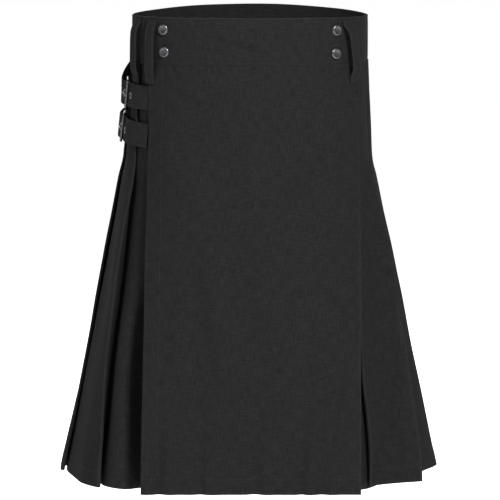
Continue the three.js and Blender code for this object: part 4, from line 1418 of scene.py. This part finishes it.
class KILT_OT_straps(bpy.types.Operator):
    """The two hip straps, with their eyelets and edge sewing"""

    bl_idname = "kilt.straps"
    bl_label = "Hip straps"

    def execute(self, context):
        for name, column, centre in STRAPS:
            s = np.linspace(STRAP_PATH[0, 0], STRAP_PATH[-1, 0], 186)
            line, toward = strap_line(column, centre, s)
            across, out = strip_axes(line, toward)
            v = np.linspace(-1, 1, 41) * STRAP_WIDTH / 2
            run = run_of(line)
            holes = [float(np.interp(p, s, run)) for p in EYELET_PLACES]
            lengths, offs = np.meshgrid(run, v, indexing="ij")
            for h in holes:
                away = np.hypot(lengths - h, offs)
                near = (away > HOLE - 0.75) & (away < HOLE + 0.35)
                scale = np.where(near, (HOLE + 0.05) / np.maximum(away, 1e-6), 1)
                lengths = h + (lengths - h) * scale
                offs = offs * scale
            grid = self.placed(line, across, run, lengths, offs)
            mid_l = (lengths[1:, 1:] + lengths[:-1, :-1]) / 2
            mid_v = (offs[1:, 1:] + offs[:-1, :-1]) / 2
            keep = np.ones(mid_l.shape, bool)
            for h in holes:
                keep &= np.hypot(mid_l - h, mid_v) > HOLE - 0.1
            inset = STRAP_WIDTH / 2 - np.abs(offs)
            half = STRAP_THICK / 2 - 0.35 * np.exp(-(((inset - STRAP_SEAM) / 1.1) ** 2))
            half = half - 0.45 * np.exp(-((inset / 0.5) ** 2))
            # Painted highlight: a paler colour painted along the strap's edges.
            wear = 0.7 * np.exp(-((inset / 0.8) ** 2))
            piece = put_shell("strap_" + name + "_cloth", grid, half, wear, keep)
            finish_piece(piece, "strap", ["strap_" + name])
            seams = []
            lift = STRAP_THICK / 2 - 0.1
            at_edge = STRAP_WIDTH / 2 - STRAP_SEAM
            for sign in (1, -1):
                for off in (-at_edge, at_edge):
                    part = line[3:-3] + across[3:-3] * off + out[3:-3] * lift * sign
                    seams.append((part, out[3:-3] * sign))
                span = np.linspace(-1, 1, 14)[:, None] * at_edge
                part = line[-5] + across[-5] * span + out[-5] * lift * sign
                seams.append((part, np.broadcast_to(out[-5] * sign, part.shape)))
            thread = put_stitches("strap_" + name + "_stitching", seams)
            finish_piece(thread, "thread")
            for i, place in enumerate(EYELET_PLACES):
                ends, _ = strap_line(column, centre, [place - 4, place + 4])
                way = unit(ends[1] - ends[0])
                middle = ends.mean(0)
                _, toward_here = strap_line(column, centre, [place])
                w = unit(np.cross(way, toward_here[0]))
                n = np.cross(w, way)
                label = "eyelet_" + name + "_" + str(i + 1)
                ring = turned(label + "_ring", EYELET_PROFILE, middle, n, 40)
                finish_piece(ring, "metal", [label])
        return {"FINISHED"}

    @staticmethod
    def placed(line, across, run, lengths, offs):
        """Points of a strap by length along it and offset across it."""
        flat = lengths.ravel()
        base = np.stack([np.interp(flat, run, line[:, k]) for k in range(3)], -1)
        side = unit(np.stack([np.interp(flat, run, across[:, k]) for k in range(3)], -1))
        return (base + side * offs.ravel()[:, None]).reshape(*lengths.shape, 3)


def rod_rings(path, side, radius, sides, closed):
    """Rings of a round rod along a path, one direction of each ring given."""
    if closed:
        along = unit(np.roll(path, -1, 0) - np.roll(path, 1, 0))
    else:
        along = unit(np.gradient(path, axis=0))
    up = unit(np.cross(side, along))
    a = (np.arange(sides) + 0.5) * 2 * math.pi / sides
    radius = np.broadcast_to(radius, (len(path),))[:, None, None]
    ring = np.cos(a)[None, :, None] * side + np.sin(a)[None, :, None] * up[:, None]
    return path[:, None] + radius * ring


def smooth_line(points, count):
    """A curve through points, evenly spread, by the same cubic as the tables."""
    points = np.asarray(points, float)
    run = run_of(points)
    s = np.linspace(0, run[-1], count)
    return np.stack([through(run, points[:, k], s) for k in range(points.shape[1])], -1)


class KILT_OT_buckles(bpy.types.Operator):
    """The buckle frames, their prongs and the cloth tabs that hold them"""

    bl_idname = "kilt.buckles"
    bl_label = "Buckles"

    def execute(self, context):
        for name, column, centre in STRAPS:
            mid, back, up, out = buckle_axes(column, centre)

            def local(s, u, v):
                """The buckle's middle plus s back along the strap, u up and v out from the hip."""
                s, u, v = np.broadcast_arrays(*(np.asarray(k, float) for k in (s, u, v)))
                return mid + s[..., None] * back + u[..., None] * up + v[..., None] * out

            self.frame(name, local, out)
            self.tab(name, local, up)
            self.prong(name, local, up)
        return {"FINISHED"}

    @staticmethod
    def frame(name, local, out):
        """A closed wire: four straights and four quarter circles, a little thinner in front."""
        half = FRAME_LENGTH / 2
        s, u = [], []
        corner = np.radians(np.linspace(0, 90, 9))
        straight = np.linspace(0.12, 0.88, 7)
        quarters = ((1, 1), (-1, 1), (-1, -1), (1, -1))

        def on_corner(sign, a):
            """A point at an angle on the quarter circle of one corner."""
            across = sign[0] * (half - FRAME_CORNER) + FRAME_CORNER * np.cos(a)
            high = sign[1] * (FRAME_HEIGHT / 2 - FRAME_CORNER) + FRAME_CORNER * np.sin(a)
            return across, high

        for q, sign in enumerate(quarters):
            bend_s, bend_u = on_corner(sign, corner + q * math.pi / 2)
            end_s, end_u = on_corner(quarters[(q + 1) % 4], (q + 1) * math.pi / 2)
            s += [*bend_s, *mix(bend_s[-1], end_s, straight)]
            u += [*bend_u, *mix(bend_u[-1], end_u, straight)]
        s, u = np.array(s), np.array(u)
        path = local(s, u, np.zeros(len(s)))
        front = smooth((-s - half + 3.5) / 3.5) * smooth((FRAME_HEIGHT / 2 - 5 - np.abs(u)) / 3)
        rings = rod_rings(path, out, FRAME_WIRE * (1 - 0.04 * front), 20, True)
        piece = loft("buckle_frame_" + name + "_metal", rings, True)
        finish_piece(piece, "metal", ["buckle_frame_" + name])

    @staticmethod
    def tab(name, local, up):
        """A strip folded round the frame's back bar, with a slot for the prong and its sewing."""
        half = FRAME_LENGTH / 2
        wrap = FRAME_WIRE + 1.0
        line = [(half + 25, -3.6), (half + 14, -3.4), (half + 5, -wrap - 0.3), (half, -wrap)]
        line += [
            (half - wrap * math.sin(a), -wrap * math.cos(a)) for a in np.radians(np.arange(1, 6) * 30)
        ]
        line += [(half, wrap), (half + 6, wrap - 0.5), (half + 15, -0.4), (half + 25, -1.7)]
        flat = smooth_line(line, 96)
        middle = local(flat[:, 0], 0.0, flat[:, 1])
        v = np.linspace(-1, 1, 27) * TAB_HALF
        grid = middle[:, None] + up[None, None] * v[None, :, None]
        s_mid = (flat[1:, 0] + flat[:-1, 0]) / 2
        v_mid = (v[1:] + v[:-1]) / 2
        slot = (np.abs(v_mid)[None] < SLOT_HALF) & (np.abs(s_mid - half) < SLOT_REACH)[:, None]
        inset = TAB_HALF - np.abs(v)
        half_thick = 0.7 - 0.2 * np.exp(-((inset - 2.5) ** 2)) - 0.3 * np.exp(-((inset / 0.5) ** 2))
        # Painted highlight: a paler colour painted along the tab's edges.
        wear = 0.6 * np.exp(-((inset / 0.8) ** 2))
        piece = put_shell("buckle_tab_" + name + "_cloth", grid, half_thick[None], wear[None], ~slot)
        finish_piece(piece, "strap", ["buckle_tab_" + name])
        seams = []
        for column in (2.6, 23.4):
            rows = np.arange(2, 94, 0.5)
            seams.append(line_on(grid, 0.6, rows, np.full(rows.shape, column)))
        row = int(np.flatnonzero(flat[:, 1] > 0.4)[-1]) - 12
        for shift in (0, 6):
            cols = np.arange(3, 23.5, 0.5)
            seams.append(line_on(grid, 0.6, np.full(cols.shape, float(row + shift)), cols))
        thread = put_stitches("buckle_tab_" + name + "_stitching", seams)
        finish_piece(thread, "thread")

    @staticmethod
    def prong(name, local, up):
        """A round rod hooked round the back bar and lying on the front one, thinner to its tip."""
        half = FRAME_LENGTH / 2
        hook = FRAME_WIRE + 1.3
        a = np.radians(100 - np.arange(7) * 32)
        line = [(half + hook * math.cos(t), hook * math.sin(t)) for t in a]
        line += [(8, -2.6), (3.4, -1.9), (1.6, -0.6), (-1.6, 3.1), (-3.2, 4.2), (-5.4, 4.3)]
        line += [(-half, hook + 0.05), (-half - 2.2, hook - 0.3)]
        flat = smooth_line(line, 80)
        path = local(flat[:, 0], 0.0, flat[:, 1])
        share = np.linspace(0, 1, 80)
        radius = 1.0 - 0.25 * smooth((share - 0.7) / 0.3)
        radius = radius * np.sqrt(np.clip((1 - share) / 0.03, 0.12, 1))
        rings = rod_rings(path, up, radius, 16, False)
        piece = loft("buckle_prong_" + name + "_metal", rings, False)
        finish_piece(piece, "metal", ["buckle_prong_" + name])


# Stage, in metres: each light's setting, place and width
LIGHTS = (
    ("key", (1.25, -3.2, 2.4), 0.7),
    ("side", (-2.3, -2.6, 2.2), 0.9),
    ("back", (-0.6, 3.4, 2.6), 2.4),
)
LIGHTS_AIM = (0, 0, -0.25)
FLOOR_HALF = 40.0


class KILT_OT_stage(bpy.types.Operator):
    """The pale floor, the soft lights and the camera"""

    bl_idname = "kilt.stage"
    bl_label = "Studio"

    def execute(self, context):
        stage = context.scene.kilt_stage
        scene = context.scene
        scene.view_settings.view_transform = "Standard"
        scene.view_settings.look = "None"
        corners = np.array([[-1, -1], [1, -1], [1, 1], [-1, 1]]) * FLOOR_HALF
        points = np.column_stack([corners, np.full(4, stage.floor)]) / MM
        floor = put_mesh("studio_floor", points, [np.array([[0, 1, 2, 3]])])
        floor.data.materials.append(floor_material(tuple(stage.floor_colour), stage.glow))
        world = bpy.data.worlds.new("studio")
        world.use_nodes = True
        background = world.node_tree.nodes["Background"]
        background.inputs["Color"].default_value = (1, 1, 1, 1)
        background.inputs["Strength"].default_value = stage.fill
        scene.world = world
        for name, place, width in LIGHTS:
            data = bpy.data.lights.new(name + " softbox", "AREA")
            data.shape = "SQUARE"
            data.size = width
            data.energy = getattr(stage, name)
            lamp = bpy.data.objects.new(name + " softbox", data)
            lamp.location = place
            aim = Vector(LIGHTS_AIM) - Vector(place)
            lamp.rotation_euler = aim.to_track_quat("-Z", "Y").to_euler()
            scene.collection.objects.link(lamp)
        camera_data = bpy.data.cameras.new("photo view")
        camera_data.sensor_width = 36.0
        camera_data.lens = stage.lens
        camera_data.clip_end = 200.0
        camera = bpy.data.objects.new("photo view", camera_data)
        camera.location = (0.0, -stage.distance, stage.height)
        camera.rotation_euler = (math.pi / 2 - stage.pitch, 0, 0)
        scene.collection.objects.link(camera)
        scene.camera = camera
        return {"FINISHED"}


# Settings and panel


def colour_setting(name, words, value):
    """A setting that holds a colour."""
    return bpy.props.FloatVectorProperty(
        name=name, description=words, default=value, subtype="COLOR", size=3, min=0, max=1
    )


class KiltLook(bpy.types.PropertyGroup):
    """Sizes and colours of the cloth, the thread and the metal"""

    cloth_colour: colour_setting("Cloth", "Colour of the twill", (0.0102, 0.0102, 0.0104))
    strap_colour: colour_setting("Straps", "Colour of the strap cloth", (0.0114, 0.0114, 0.0116))
    # Black thread, set darker than the cloth as painted shade along the seam lines.
    thread_colour_with_seam_shade: colour_setting("Thread", "Colour of the sewing thread, darker than the cloth as painted seam shade", (0.0056, 0.0056, 0.0057))
    metal_colour: colour_setting("Metal", "Colour of the plating", (0.09, 0.09, 0.095))
    metal_roughness: bpy.props.FloatProperty(
        name="Metal roughness", description="How satin the plating is", default=0.3, min=0, max=1
    )
    weave: bpy.props.FloatProperty(
        name="Rib pitch", description="From one twill rib to the next",
        default=0.0009, min=0.0003, max=0.005, unit="LENGTH",
    )
    row_step: bpy.props.FloatProperty(
        name="Row step", description="Height of one row of the cloth's mesh",
        default=0.0047, min=0.002, max=0.02, unit="LENGTH",
    )
    cloth_scale: bpy.props.FloatProperty(
        name="Thickness", description="Thickness of the cloth against its real one",
        default=1.0, min=0.5, max=1.2, subtype="FACTOR",
    )
    relief: bpy.props.FloatProperty(
        name="Weave relief", description="Strength of the weave's relief",
        default=0.5, min=0, max=1, subtype="FACTOR",
    )
    sheen: bpy.props.FloatProperty(
        name="Sheen", description="Weight of the cloth's sheen", default=0.006, min=0, max=1,
    )
    dye: bpy.props.FloatProperty(
        name="Uneven dye", description="How far the dye varies", default=0.34, min=0, max=1,
    )
    # Painted highlight: how much paler the colour is painted on folds and edges.
    highlight_strength: bpy.props.FloatProperty(
        name="Rubbed folds", description="How much paler the painted highlight on folds and edges is", default=1.3, min=1, max=6,
    )


class KiltStage(bpy.types.PropertyGroup):
    """The floor, the lights and the camera"""

    floor: bpy.props.FloatProperty(
        name="Floor", description="Height of the floor", default=-1.05, unit="LENGTH"
    )
    floor_colour: colour_setting("Floor colour", "Colour of the floor", (0.9, 0.9, 0.9))
    glow: bpy.props.FloatProperty(name="Glow", description="Light from the floor itself", default=0.85)
    fill: bpy.props.FloatProperty(name="Fill", description="Light from all round", default=0.15)
    key: bpy.props.FloatProperty(name="Key", description="Front light in watts", default=290.0)
    side: bpy.props.FloatProperty(name="Side", description="Left front light in watts", default=68.0)
    back: bpy.props.FloatProperty(name="Back", description="Back light in watts", default=140.0)
    distance: bpy.props.FloatProperty(
        name="Distance", description="Camera to the waist", default=4.7, unit="LENGTH"
    )
    height: bpy.props.FloatProperty(
        name="Height", description="Camera above the waist", default=0.3506, unit="LENGTH"
    )
    pitch: bpy.props.FloatProperty(
        name="Pitch", description="How far the camera looks down", default=0.1339, unit="ROTATION"
    )
    lens: bpy.props.FloatProperty(
        name="Lens", description="Focal length in millimetres", default=259.6
    )


OPERATORS = (
    KILT_OT_stage,
    KILT_OT_waistband,
    KILT_OT_front_apron,
    KILT_OT_under_apron,
    KILT_OT_pleats,
    KILT_OT_belt_loops,
    KILT_OT_snaps,
    KILT_OT_straps,
    KILT_OT_buckles,
)


class KILT_PT_pieces(bpy.types.Panel):
    """Lists the kilt's pieces and settings"""

    bl_label = "Kilt"
    bl_idname = "KILT_PT_pieces"
    bl_space_type = "VIEW_3D"
    bl_region_type = "UI"
    bl_category = "Kilt"

    def draw(self, context):
        for operator in OPERATORS:
            self.layout.operator(operator.bl_idname)
        for group in (context.scene.kilt_look, context.scene.kilt_stage):
            box = self.layout.box()
            for name in group.__annotations__:
                box.prop(group, name)


CLASSES = (KiltLook, KiltStage, *OPERATORS, KILT_PT_pieces)


def register():
    """Adds the settings, operators and panel."""
    for made in CLASSES:
        bpy.utils.register_class(made)
    bpy.types.Scene.kilt_look = bpy.props.PointerProperty(type=KiltLook)
    bpy.types.Scene.kilt_stage = bpy.props.PointerProperty(type=KiltStage)


def unregister():
    """Takes them away again."""
    del bpy.types.Scene.kilt_stage
    del bpy.types.Scene.kilt_look
    for made in reversed(CLASSES):
        bpy.utils.unregister_class(made)


def main():
    """Makes every piece in order."""
    register()
    bpy.ops.kilt.stage()
    bpy.ops.kilt.waistband()
    bpy.ops.kilt.front_apron()
    bpy.ops.kilt.under_apron()
    bpy.ops.kilt.pleats()
    bpy.ops.kilt.belt_loops()
    bpy.ops.kilt.snaps()
    bpy.ops.kilt.straps()
    bpy.ops.kilt.buckles()


if __name__ == "__main__":
    main()
